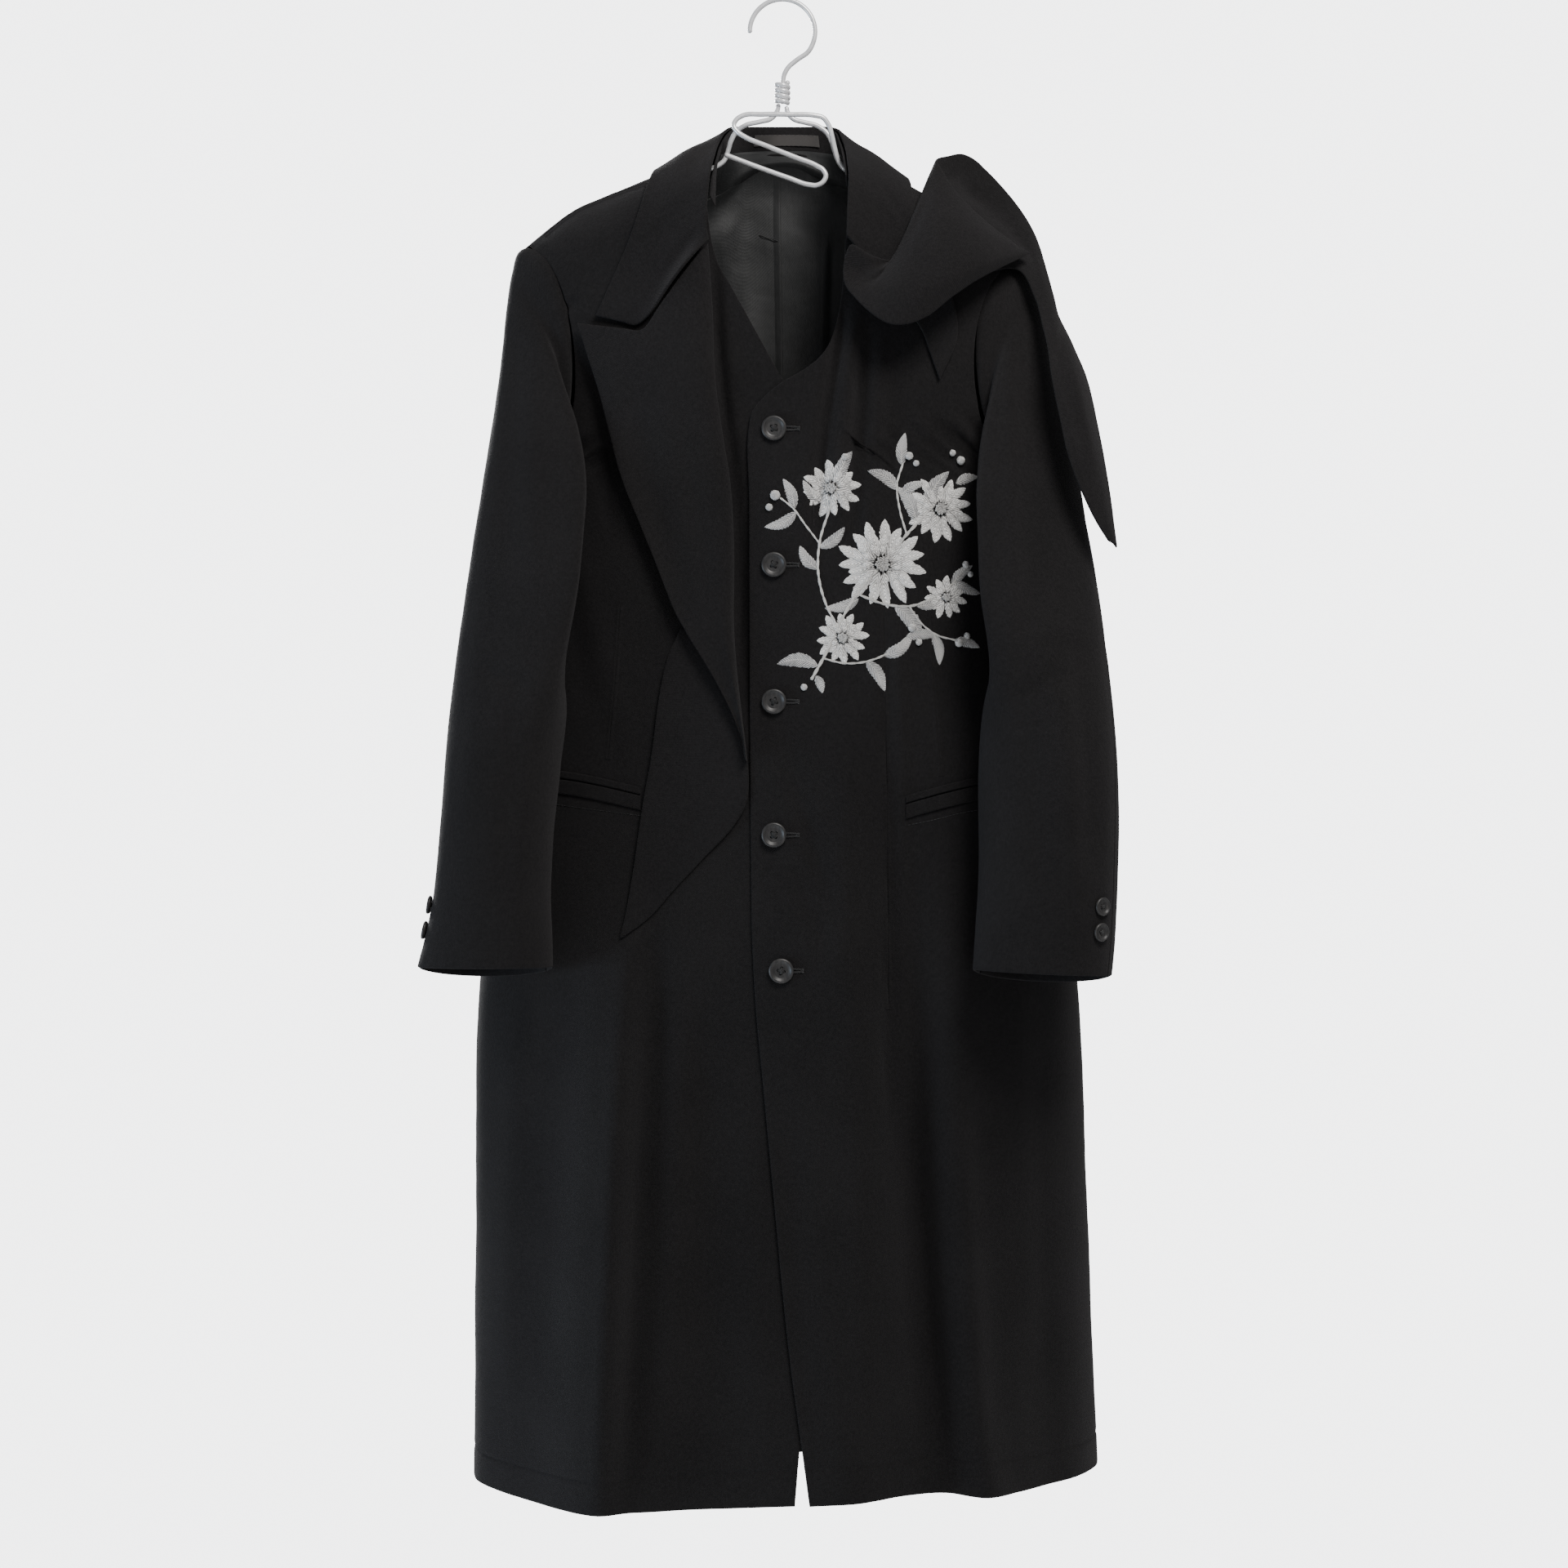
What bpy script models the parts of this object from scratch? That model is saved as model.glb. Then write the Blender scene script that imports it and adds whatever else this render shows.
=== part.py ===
"""A long black wool coat, embroidered on one front, hanging on a wire hanger.

Sizes are in millimetres here and in metres in the meshes. Sides are the wearer's: +X is the wearer's left,
-Y is the front and +Z is up. The origin is the top of the inside of the hanger's hook, where a rail
carries it.
The body is one smooth tube. Its panels, pockets, lapels and collar are all laid out on that tube.
"""

import math

import bmesh
import bpy
import numpy as np
from mathutils import Vector
from mathutils.bvhtree import BVHTree

MM = 0.001

# Cloth and gaps
CLOTH = 2.0
COLLAR_CLOTH = 2.4
LINING = 1.0
LABEL_CLOTH = 0.6
SEAM = 0.3
SIDE_INSET = 0.001
LAYER_GAP = 1.1
SHOULDER_GAP = 0.7
# How far beside a layer still counts as over it, the share of a place that moves a corner,
# and the least move worth making.
BESIDE, BESIDE_SLOPE = 1.2, 0.3
CORNER_WEIGHT = 0.2
CLEAR_ENOUGH = 0.01
SLEEVE_GAP = 3.4
ARMHOLE_OUT = 2.3

# The body tube: at each height its right and left sides, their depth, the front, the back,
# and how far the left side stands back from the right one.
BODY_SECTIONS = (
    # height, right, left, side, front, back, skew
    (-80, -252, 236, 3, -58, 54, 0),
    (-220, -247, 233, 4, -66, 59, 0),
    (-310, -226, 219, 6, -73, 65, 0),
    (-400, -209, 206, 8, -77, 70, 0),
    (-550, -228, 222, 14, -81, 79, 1),
    (-700, -247, 241, 19, -84, 88, 3),
    (-850, -262, 257, 28, -82, 99, 6),
    (-1060, -266, 268, 50, -74, 124, 16),
    (-1285, -269, 281, 80, -64, 154, 28),
)

# The line of the shoulders, from the right sleeve over the neck to the left sleeve.
RIDGE = (
    # across, height
    (-262, -246),
    (-223, -214),
    (-204, -198),
    (-183, -182),
    (-145, -165),
    (-106, -149),
    (-68, -134),
    (-40, -108),
    (0, -99),
    (40, -108),
    (68, -137),
    (107, -157),
    (150, -182),
    (195, -216),
    (208, -227),
    (262, -266),
)
RIDGE_RADIUS = 60.0

# Folds that run down the skirt. Depth is toward the front on the fronts, and away from the coat on the back.
FRONT_FOLDS = (
    # name, x at its top, x at the hem, top height, depth, half width
    ("right_front_ridge", -132, -158, -600, 38, 46),
    ("left_front_valley", 90, 126, -500, -36, 27),
    ("left_front_ridge", 124, 160, -560, 11, 25),
    ("left_side_valley", 196, 226, -820, -16, 26),
)
FOLD_GROWN = 0.8
BACK_FOLDS = (
    ("back_right_ridge", -118, -150, -520, 24, 44),
    ("back_middle_valley", -6, -22, -420, -20, 46),
    ("back_left_ridge", 96, 118, -560, 28, 48),
)

SHOULDER_SEAM_REACH = 18.0
HEM = (
    # across, height
    (-272, -1272),
    (-208, -1278),
    (-159, -1279),
    (-80, -1278),
    (10, -1277),
    (65, -1276),
    (130, -1275),
    (186, -1279),
    (284, -1272),
)
HEM_BACK_HEIGHT = -1272.0

# The front edges. The right front laps under, the left front laps over it.
RIGHT_FRONT_EDGE = (
    # height, across
    (-136, -67),
    (-180, -64),
    (-212, -60),
    (-232, -55),
    (-285, -26),
    (-334, 1),
    (-360, 17),
    (-400, 26),
    (-800, 27),
    (-1135, 20),
    (-1225, 15),
    (-1285, 10),
)
LEFT_FRONT_EDGE = (
    (-136, 67),
    (-180, 61),
    (-214, 53),
    (-252, 51),
    (-285, 46),
    (-307, 38),
    (-322, 22),
    (-334, 1),
    (-347, -15),
    (-358, -25),
    (-372, -28),
    (-657, -27),
    (-827, -25),
    (-1135, 4),
    (-1225, 16),
    (-1285, 24),
)
FRONT_ROWS = (
    # stretches of the front edge: height at its top, height at its foot, rows of cloth in it
    (-139, -300, 8),
    (-300, -374, 6),
    (-374, -1277, 15),
)
FRONT_COLUMNS = 10
LAP_STEP = 3.4
LAP_FROM, LAP_TO = -66.0, -34.0

# Armholes: from the shoulder point down to the underarm, and how far the curve sets in on the front and back.
UNDERARM_HEIGHT = -400.0
ARMHOLES = {
    # side: (across at the shoulder, set in at the front, set in at the back)
    "right": (-223.0, 40.0, 26.0),
    "left": (208.0, 45.0, 26.0),
}
ARMHOLE_BEND = 0.9
ARMHOLE_STEPS = 400

BACK_NECK_REACH = 54.0
NECK_INNER, NECK_OUTER = 54.0, 70.0
BACK_ROWS = (
    # stretches of the back: share of the way down at its top, share at its foot, rows of cloth in it
    (0.0, 0.15, 8),
    (0.15, 0.33, 5),
    (0.33, 1.0, 10),
)
BACK_COLUMNS = 20
LINING_ANGLE, LINING_COLUMNS, LINING_ROWS = 0.56, 12, 12
LINING_SIDE_REACH, LINING_FOOT, LINING_GAP = 28.0, -500.0, 3.2
LINING_NECK_OUTER, LINING_NECK_REACH = 90.0, 60.0
LINING_ROW_SPREAD = 1.5

# Sleeves: rings from under the cap to the cuff.
SLEEVE_RINGS = {
    "right": (
        # outer x and z, inner x and z, middle depth, half depth, set in at the front, set in at the back
        (-231, -234, -213, -417, -4, 42, 34, 22),
        (-235, -260, -215, -433, -10, 46, 44, 14),
        (-239, -302, -216, -451, -20, 50, 58, 6),
        (-244, -350, -215, -473, -34, 52, 66, 0),
        (-250, -404, -213, -501, -50, 51, 66, 0),
        (-258, -468, -196, -539, -66, 49, 54, 0),
        (-270, -552, -180, -598, -80, 46, 24, 0),
        (-279, -643, -184, -658, -88, 44, 0, 0),
        (-284, -712, -190, -716, -91, 42, 0, 0),
        (-289, -762, -192, -762, -93, 40, 0, 0),
        (-295, -794, -191, -794, -94, 38, 0, 0),
        (-302, -822, -190, -822, -95, 36, 0, 0),
    ),
    "left": (
        (217, -248, 212, -417, -4, 42, 38, 22),
        (224, -272, 214, -433, -10, 46, 46, 14),
        (232, -312, 215, -451, -20, 50, 58, 6),
        (240, -358, 214, -473, -34, 52, 65, 0),
        (249, -410, 212, -501, -50, 52, 68, 0),
        (258, -468, 191, -539, -66, 50, 57, 0),
        (269, -550, 169, -598, -80, 48, 24, 0),
        (277, -632, 163, -658, -88, 47, 0, 0),
        (279, -702, 163, -716, -90, 45, 0, 0),
        (278, -752, 162, -762, -92, 43, 0, 0),
        (276, -796, 160, -794, -93, 41, 0, 0),
        (273, -829, 158, -824, -94, 38, 0, 0),
    ),
}
SLEEVE_COLUMNS = {"top": 13, "under": 9}
# Where the two sleeve seams lie round each ring, in degrees from the outer side toward the front.
HIND_SEAM_AT_CAP = -58.0
HIND_SEAM_AT_CUFF = {"right": -14.0, "left": 24.0}
HIND_SEAM_SETTLES = 0.8
FORE_SEAM = -155.0
CUFF_BACK_DROP = 10.0

# The collar: the crease round the neck, the foot of the stand, and the leaf's outer edge on the body.
COLLAR_STATIONS = (
    # crease x, y, z, foot x, y, z, leaf edge x, leaf edge reach
    (-62, -73, -216, -58, -66, -222, -156, -142),
    (-63, -72, -200, -58, -65, -206, -147, -126),
    (-62, -68, -180, -58, -61, -188, -137, -108),
    (-60, -57, -158, -58, -51, -168, -127, -88),
    (-57, -35, -140, -58, -32, -149, -118, -64),
    (-55, -8, -126, -57, -8, -136, -110, -30),
    (-51, 16, -113, -54, 13, -129, -104, 6),
    (-44, 39, -101, -47, 33, -125, -94, 44),
    (-24, 52, -97, -26, 45, -121, -60, 88),
    (0, 56, -96, 0, 48, -120, 0, 108),
    (24, 52, -97, 26, 45, -121, 60, 88),
    (44, 39, -101, 47, 33, -126, 92, 46),
    (50, 16, -114, 53, 13, -130, 102, 8),
    (53, -8, -128, 56, -8, -138, 107, -28),
    (54, -35, -142, 57, -32, -151, 111, -62),
    (55, -57, -160, 56, -51, -170, 124, -98),
    (54, -69, -184, 54, -62, -192, 148, -132),
    (53, -74, -213, 53, -67, -222, 131, -196),
)
LEAF_GORGE_RIGHT = (-116, -288)
LEAF_GORGE_LEFT = (115, -286)
COLLAR_COUNT = 25
LEAF_ROWS = 7
LEAF_BEND = ((0, 1.0), (1, 0.7), (2, 0.4), (3, 0.15))
LEAF_LIFT = 1.6
LEAF_CENTRE = (0, 0, -190)
NECK_AXIS = np.array([0.0, -10.0, 0.0])
STAND_INSET, STAND_LOWER = 2.8, 0.8
CREASE_RISE = 5.0
STAND_SKIP, STAND_ROWS = 3, 3
# The label: its middle, how many of the stand's steps it reaches each way, and its shares
# of the stand's height.
LABEL_CENTRE, LABEL_HALF = 4.0, 1.7
LABEL_SHARES = (0.32, 0.78)
LABEL_GAP, LABEL_COLUMNS = 0.4, 6

# The right lapel, from its gorge down to where its two edges meet, and its pointed tail below.
LAPEL_ROLL = (
    # height, across
    (-218, -62),
    (-276, -58),
    (-331, -56),
    (-376, -50),
    (-421, -43),
    (-480, -40),
    (-540, -40),
    (-580, -37),
    (-624, -32),
    (-652, -29),
)
LAPEL_OUTER = (
    (-283, -170),
    (-330, -155),
    (-377, -142),
    (-416, -131),
    (-447, -119),
    (-488, -103),
    (-535, -84),
    (-567, -65),
    (-600, -47),
    (-629, -35),
    (-650, -31),
)
LAPEL_NOTCH = (-116, -292)
LAPEL_NOTCH_ENDS = 0.3
LAPEL_ROWS, LAPEL_COLUMNS = 18, 9
LAPEL_ROLL_COLUMNS, LAPEL_NEXT_COLUMN = (0, 0.05, 0.12), 0.24
LAPEL_LIFT = (
    # share of the way from the roll to the outer edge, lift of the cloth's face
    (0.0, 2.8),
    (0.06, 9.0),
    (0.2, 12.0),
    (0.5, 9.6),
    (0.8, 8.0),
    (1.0, 7.4),
)
TAIL_INNER = (
    # share of the way down, across, height
    (0.0, -40, -560),
    (0.2, -34, -610),
    (0.36, -29, -652),
    (0.48, -29, -684),
    (0.58, -40, -705),
    (0.72, -62, -729),
    (0.86, -92, -761),
    (0.94, -113, -784),
    (1.0, -131, -798),
)
TAIL_OUTER = (
    (0.0, -84, -540),
    (0.2, -97, -572),
    (0.36, -104, -611),
    (0.48, -109, -651),
    (0.58, -114, -678),
    (0.72, -120, -718),
    (0.86, -126, -758),
    (0.94, -130, -782),
    (1.0, -134, -799),
)
TAIL_ROWS, TAIL_COLUMNS = 14, 5
TAIL_LIFT = 0.4

# The left lapel is thrown over the shoulder. Each section crosses it from its lower edge
# to its free upper edge.
SCARF_SECTIONS = (
    # lower edge x, y, z, then x, y, z a third across, two thirds across, and at the upper edge
    (209, -36, -222, 207, -37, -221, 204, -38, -220, 200, -38, -219),
    (184, -60, -236, 186, -62, -228, 187, -56, -217, 184, -48, -207),
    (150, -86, -258, 157, -90, -240, 164, -76, -213, 164, -52, -189),
    (114, -102, -287, 122, -104, -256, 138, -82, -208, 146, -48, -169),
    (86, -104, -290, 98, -102, -258, 120, -74, -200, 135, -36, -149),
    (62, -94, -270, 86, -88, -250, 112, -62, -196, 130, -26, -140),
    (51, -82, -251, 83, -78, -246, 108, -50, -196, 131, -14, -137),
    (57, -76, -222, 88, -62, -236, 116, -32, -188, 142, 0, -133),
    (96, -66, -252, 124, -46, -226, 142, -12, -176, 156, 8, -130),
    (150, -50, -250, 162, -30, -222, 170, -2, -178, 176, 12, -142),
    (204, -46, -262, 210, -28, -232, 209, -8, -205, 206, 10, -178),
    (219, -66, -294, 225, -46, -266, 226, -26, -242, 222, -6, -216),
    (222, -88, -330, 231, -72, -306, 235, -52, -286, 232, -34, -268),
    (227, -102, -372, 240, -96, -352, 250, -80, -336, 254, -62, -325),
    (235, -108, -406, 247, -104, -396, 259, -92, -386, 265, -78, -380),
    (251, -110, -441, 258, -106, -437, 266, -100, -432, 272, -90, -428),
    (270, -104, -470, 272, -103, -471, 274, -102, -472, 277, -100, -475),
)
SCARF_STEPS, SCARF_COLUMNS = 28, 7
SCARF_GAP = 4.3

# Jetted pockets: inner and outer end, height at each end, and the depths of the jet and the welt.
POCKETS = {
    "right": (-118, -222, -680, -664),
    "left": (103, 220, -687, -666),
}
JET_DEPTH, WELT_DEPTH, POCKET_SLIT = 6.0, 12.0, 1.2
JET_CLOTH = 1.3
POCKET_COLUMNS = 12

# Buttons
FRONT_BUTTON_DIAMETER, CUFF_BUTTON_DIAMETER = 21.0, 15.5
BUTTON_HEIGHT = 3.4
BUTTON_GAP = 0.4
FRONT_BUTTONS = (
    # across, height
    (-7, -374),
    (-7, -488),
    (-7, -602),
    (-7, -713),
    (-1, -826),
)
BUTTON_SIDES = 16
BUTTON_PROFILE = (
    # share of the radius, share of the height
    (0.66, 0.66),
    (0.82, 1.0),
    (1.0, 0.72),
    (0.86, 0.0),
)
CUFF_BUTTON_HEIGHTS = (-771.0, -792.0)
CUFF_BUTTON_TURN = {"right": 0.0, "left": 43.0}

# The wire hanger
WIRE = 4.2
HOOK_RADIUS = 28.0
HOOK_TIP_TURN, HOOK_END_TURN = 182.0, -36.0
HOOK_STEM = (
    # across, height
    (12.5, -50.0),
    (5.0, -56.5),
    (1.5, -63.0),
    (0.4, -70.0),
    (0.0, -87.5),
)
HOOK_POINTS = 22
TWIST_TOP, TWIST_TURNS, TWIST_PITCH, TWIST_SIDES = -69.0, 4, 4.6, 9
TWIST_GAP = 0.7
ARM_ROUTES = {
    # across, height, up to where the arm meets the shoulder line
    "right": (
        (-3.2, -87.9), (-5.0, -95), (-11, -101), (-24, -104), (-35, -107.5), (-42.5, -116), (-46, -126),
        (-49, -135), (-56, -141), (-66, -144),
    ),
    "left": (
        (3.2, -89.9), (5.0, -96), (11, -101.5), (23, -104.5), (34, -108.5), (41, -117), (44.5, -127),
        (47.5, -136), (54, -142), (63, -145.5),
    ),
}
ARM_UNDER_SHOULDER = {
    "right": (-84, -104, -124, -144, -162, -178),
    "left": (84, 104, 124, 144, 160, 174),
}
# How far out and down the arm's last two points are from where it leaves the shoulder line.
ARM_TIP = ((5.0, 8.8), (3.0, 16.0))
ARM_GAP = 1.1
CLIP_ROUTE = (
    # across, depth, height
    (70, -4.8, -146),
    (60, -5.0, -146),
    (51.5, -6, -143.5),
    (46.5, -8, -134),
    (43, -10, -120),
    (39.5, -11, -108),
    (34, -12, -101.5),
    (24, -13, -100),
    (-4, -14, -99.5),
    (-30, -14, -100),
    (-38, -14.5, -103),
    (-41.5, -15, -109),
    (-37, -16, -116),
    (-28, -17, -121),
    (0, -20, -133),
    (26, -22, -143.5),
    (34, -23, -148),
    (37, -23.5, -154),
    (33.5, -24, -160),
    (26, -24, -162),
    (14, -23.5, -158.5),
    (-18, -22, -147),
    (-49, -20, -135),
)

WOOL = ("wool", (0.021, 0.020, 0.021), 0.92, 0.0)
LINING_CLOTH = ("lining", (0.045, 0.047, 0.050), 0.55, 0.0)
HORN = ("button", (0.018, 0.017, 0.017), 0.32, 0.0)
STEEL = ("wire", (0.62, 0.62, 0.63), 0.34, 1.0)
LABEL = ("label", (0.42, 0.40, 0.38), 0.6, 0.0)


# Scene and materials


def clear_scene():
    for thing in list(bpy.data.objects):
        bpy.data.objects.remove(thing, do_unlink=True)


def material(finish):
    name, colour, roughness, metallic = finish
    found = bpy.data.materials.get(name)
    if found:
        return found
    made = bpy.data.materials.new(name)
    made.use_nodes = True
    shader = made.node_tree.nodes["Principled BSDF"]
    shader.inputs["Base Color"].default_value = (*colour, 1.0)
    shader.inputs["Roughness"].default_value = roughness
    shader.inputs["Metallic"].default_value = metallic
    return made


def add_object(name, data, finish):
    thing = bpy.data.objects.new(name, data)
    data.materials.append(material(finish))
    bpy.context.scene.collection.objects.link(thing)
    return thing


def add_mesh(name, points, faces, finish, smooth_angle=40.0):
    """A closed mesh from points in millimetres, its faces turned to point outwards."""
    mesh = bpy.data.meshes.new(name)
    mesh.from_pydata([Vector(p) * MM for p in points], [], faces)
    work = bmesh.new()
    work.from_mesh(mesh)
    bmesh.ops.recalc_face_normals(work, faces=work.faces)
    if work.calc_volume(signed=True) < 0:
        bmesh.ops.reverse_faces(work, faces=work.faces)
    work.to_mesh(mesh)
    work.free()
    mesh.shade_smooth()
    mesh.set_sharp_from_angle(angle=math.radians(smooth_angle))
    return add_object(name, mesh, finish)


# Tables and curves


def smooth_step(value, low, high):
    share = np.clip((np.asarray(value, float) - low) / (high - low), 0, 1)
    return share * share * (3 - 2 * share)


def read_curve(table, at):
    """The columns after the first, read at places of the first column on a smooth curve through every row."""
    rows = np.asarray(table, float)
    rows = rows[np.argsort(rows[:, 0])]
    knots, values = rows[:, 0], rows[:, 1:]
    slopes = np.gradient(values, knots, axis=0)
    at = np.clip(np.asarray(at, float), knots[0], knots[-1])
    index = np.clip(np.searchsorted(knots, at, side="right") - 1, 0, len(knots) - 2)
    width = (knots[index + 1] - knots[index])[..., None]
    share = (at - knots[index])[..., None] / width
    square, cube = share**2, share**3
    return (
        values[index] * (2 * cube - 3 * square + 1)
        + values[index + 1] * (3 * square - 2 * cube)
        + slopes[index] * width * (cube - 2 * square + share)
        + slopes[index + 1] * width * (cube - square)
    )


def read_line(table, at):
    """The second column read at places of the first, on straight lines between the rows."""
    rows = np.asarray(table, float)
    rows = rows[np.argsort(rows[:, 0])]
    return np.interp(at, rows[:, 0], rows[:, 1])


def stretches(table):
    """All levels of a table of stretches, each once."""
    levels = [np.linspace(first, last, rows + 1)[:-1] for first, last, rows in table]
    return np.concatenate(levels + [[table[-1][1]]])


def through(rows, count):
    """Points spaced evenly by row on a smooth curve through the rows."""
    places = np.arange(len(rows), dtype=float)
    table = np.column_stack([places, np.asarray(rows, float)])
    return read_curve(table, np.linspace(0, len(rows) - 1, count))


# The body tube. A place on it is an angle round it (0 in the middle, 90 degrees at the left side)
# and a reach down from the shoulder line, negative on the front and positive on the back.


def ridge_height(across):
    return read_curve(RIDGE, across)[..., 0]


def drop_of(reach):
    run = np.abs(reach)
    turn = np.minimum(run / RIDGE_RADIUS, math.pi / 2)
    return RIDGE_RADIUS * (1 - np.cos(turn)) + np.maximum(run - RIDGE_RADIUS * math.pi / 2, 0)


def reach_of(drop):
    drop = np.maximum(drop, 0)
    turn = np.arccos(np.clip(1 - drop / RIDGE_RADIUS, 0, 1))
    return RIDGE_RADIUS * turn + np.maximum(drop - RIDGE_RADIUS, 0)


def section(height):
    right, left, side, front, back, skew = np.moveaxis(read_curve(BODY_SECTIONS, height), -1, 0)
    return (right + left) / 2, (left - right) / 2, side, front, back, skew


def fold_offset(folds, across, height):
    total = np.zeros(np.broadcast(across, height).shape)
    for _, x_top, x_hem, z_top, depth, half_width in folds:
        share = np.clip((z_top - height) / (z_top - HEM_BACK_HEIGHT), 0, 1)
        middle = x_top + (x_hem - x_top) * share
        grown = smooth_step(share, 0, FOLD_GROWN)
        total = total + depth * grown * np.exp(-(((across - middle) / half_width) ** 2))
    return total


def body_at(angle, reach):
    """The point of the body's outer face at an angle and a reach."""
    angle, reach = np.broadcast_arrays(np.asarray(angle, float), np.asarray(reach, float))
    drop = drop_of(reach)
    height = -300.0 - 0 * drop
    for _ in range(5):
        centre, half, side, front, back, skew = section(height)
        across = centre + half * np.sin(angle)
        height = ridge_height(across) - drop
    centre, half, side, front, back, skew = section(height)
    turn = np.minimum(np.abs(reach) / RIDGE_RADIUS, math.pi / 2)
    fade = np.cos(angle)
    front_fold = -fold_offset(FRONT_FOLDS, across, height)
    back_fold = fold_offset(BACK_FOLDS, across, height)
    edge = np.where(reach < 0, front, back)
    fold = np.where(reach < 0, front_fold, back_fold)
    full = side + (edge - side + fold) * fade + skew * np.sin(angle)
    return np.stack([across, np.sin(turn) * full, height], axis=-1)


def place(across, height, front=True):
    """The angle and reach of a point given by how far across and how high it is."""
    centre, half, *_ = section(height)
    angle = np.arcsin(np.clip((across - centre) / half, -1, 1))
    reach = reach_of(ridge_height(across) - height)
    return angle, -reach if front else reach


def body_normal(angle, reach):
    """The outward direction at a place on the body."""
    turn, run = 0.004, 0.8
    along = body_at(angle + turn, reach) - body_at(angle - turn, reach)
    down = body_at(angle, reach + run) - body_at(angle, reach - run)
    normal = np.cross(along, down)
    return normal / np.linalg.norm(normal, axis=-1, keepdims=True)


def on_body(across, height, lift, front=True):
    angle, reach = place(np.asarray(across, float), np.asarray(height, float), front)
    return body_at(angle, reach) + body_normal(angle, reach) * np.asarray(lift, float)[..., None]


# Cloth walls


def grid_normals(points):
    """The direction across a grid of points at each point, from its neighbours."""
    along = np.gradient(points, axis=0)
    across = np.gradient(points, axis=1)
    normal = np.cross(along, across)
    length = np.linalg.norm(normal, axis=-1, keepdims=True)
    return normal / np.maximum(length, 1e-9)


def grid_faces(rows, columns, start=0, flip=False):
    faces = []
    for r in range(rows - 1):
        for c in range(columns - 1):
            a = start + r * columns + c
            face = (a, a + 1, a + columns + 1, a + columns)
            faces.append(face[::-1] if flip else face)
    return faces


def wall_mesh(name, face, back, finish):
    """A closed wall between two grids of points, its shown face and its hidden back."""
    rows, columns = face.shape[:2]
    points = np.concatenate([face.reshape(-1, 3), back.reshape(-1, 3)])
    count = rows * columns
    faces = grid_faces(rows, columns) + grid_faces(rows, columns, count, flip=True)
    rim = [c for c in range(columns)]
    rim += [r * columns + columns - 1 for r in range(1, rows)]
    rim += [(rows - 1) * columns + c for c in range(columns - 2, -1, -1)]
    rim += [r * columns for r in range(rows - 2, 0, -1)]
    for here, after in zip(rim, rim[1:] + rim[:1]):
        faces.append((after, here, here + count, after + count))
    return add_mesh(name, points, faces, finish)


def body_wall(name, angle, reach, finish, lift=0.0, cloth=CLOTH, shift=None, layers=None):
    """A wall whose face is the body's, lifted, and whose back is one cloth below it."""
    points = body_at(angle, reach)
    normals = body_normal(angle, reach)
    lift = np.asarray(lift, float)[..., None] * np.ones_like(points)
    face = points + normals * lift
    back = points + normals * (lift - cloth)
    if shift is not None:
        face = face + shift
        back = back + shift
    wall_mesh(name, face, back, finish)
    if layers is not None:
        layers.add(face, normals)


def facing_away(grid, inside):
    """The grid's directions, turned away from a point inside the coat."""
    normals = grid_normals(grid)
    if np.mean(np.sum(normals * (np.array(inside) - grid), axis=-1)) > 0:
        normals = -normals
    return normals


class Layers:
    """The faces laid so far, which later pieces are kept clear of."""

    def __init__(self):
        self.points = []
        self.faces = []

    def add(self, grid, outward):
        rows, columns = grid.shape[:2]
        start = len(self.points)
        self.points += [Vector(p) for p in grid.reshape(-1, 3)]
        turned = np.sum(grid_normals(grid) * outward) > 0
        self.faces += grid_faces(rows, columns, start, flip=turned)

    def tree(self):
        return BVHTree.FromPolygons(self.points, self.faces)


def clear_of(layers, grid, gap, passes=4, parts=3):
    """The grid, moved out wherever it comes nearer than the gap to a layer."""
    tree = layers.tree()
    grid = grid.copy()
    rows, columns = grid.shape[:2]
    shares = np.linspace(0, 1, parts + 1)
    for _ in range(passes):
        push = np.zeros_like(grid)
        need = np.zeros((rows, columns))
        for r in range(rows - 1):
            for c in range(columns - 1):
                corners = ((r, c), (r, c + 1), (r + 1, c), (r + 1, c + 1))
                for down in shares:
                    for along in shares:
                        up, back = 1 - down, 1 - along
                        weights = (up * back, up * along, down * back, down * along)
                        point = sum(w * grid[k] for w, k in zip(weights, corners))
                        found, normal, _, distance = tree.find_nearest(Vector(point))
                        away = (Vector(point) - found).dot(normal)
                        sideways = math.sqrt(max(distance**2 - away**2, 0))
                        if away < gap and sideways < BESIDE + BESIDE_SLOPE * abs(away):
                            for w, k in zip(weights, corners):
                                if w > CORNER_WEIGHT and gap - away > need[k]:
                                    need[k] = gap - away
                                    push[k] = np.array(normal) * (gap - away)
        if need.max() < CLEAR_ENOUGH:
            break
        grid += push
    return grid


# Panels


def armhole(side):
    """The armhole's front and back curves, as rows of height and across."""
    shoulder, set_in_front, set_in_back = ARMHOLES[side]
    outward = np.sign(shoulder)
    top = float(ridge_height(np.array(shoulder)))
    centre, half, *_ = section(np.array(UNDERARM_HEIGHT))
    bottom = centre + outward * half
    turn = np.linspace(0, math.pi, ARMHOLE_STEPS)
    share = (1 - np.cos(turn)) / 2
    height = top + (UNDERARM_HEIGHT - top) * share
    across = shoulder + (bottom - shoulder) * share
    curves = {}
    for where, set_in in (("front", set_in_front), ("back", set_in_back)):
        curves[where] = (turn, across - outward * set_in * np.sin(turn) ** ARMHOLE_BEND, height)
    return curves


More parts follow.
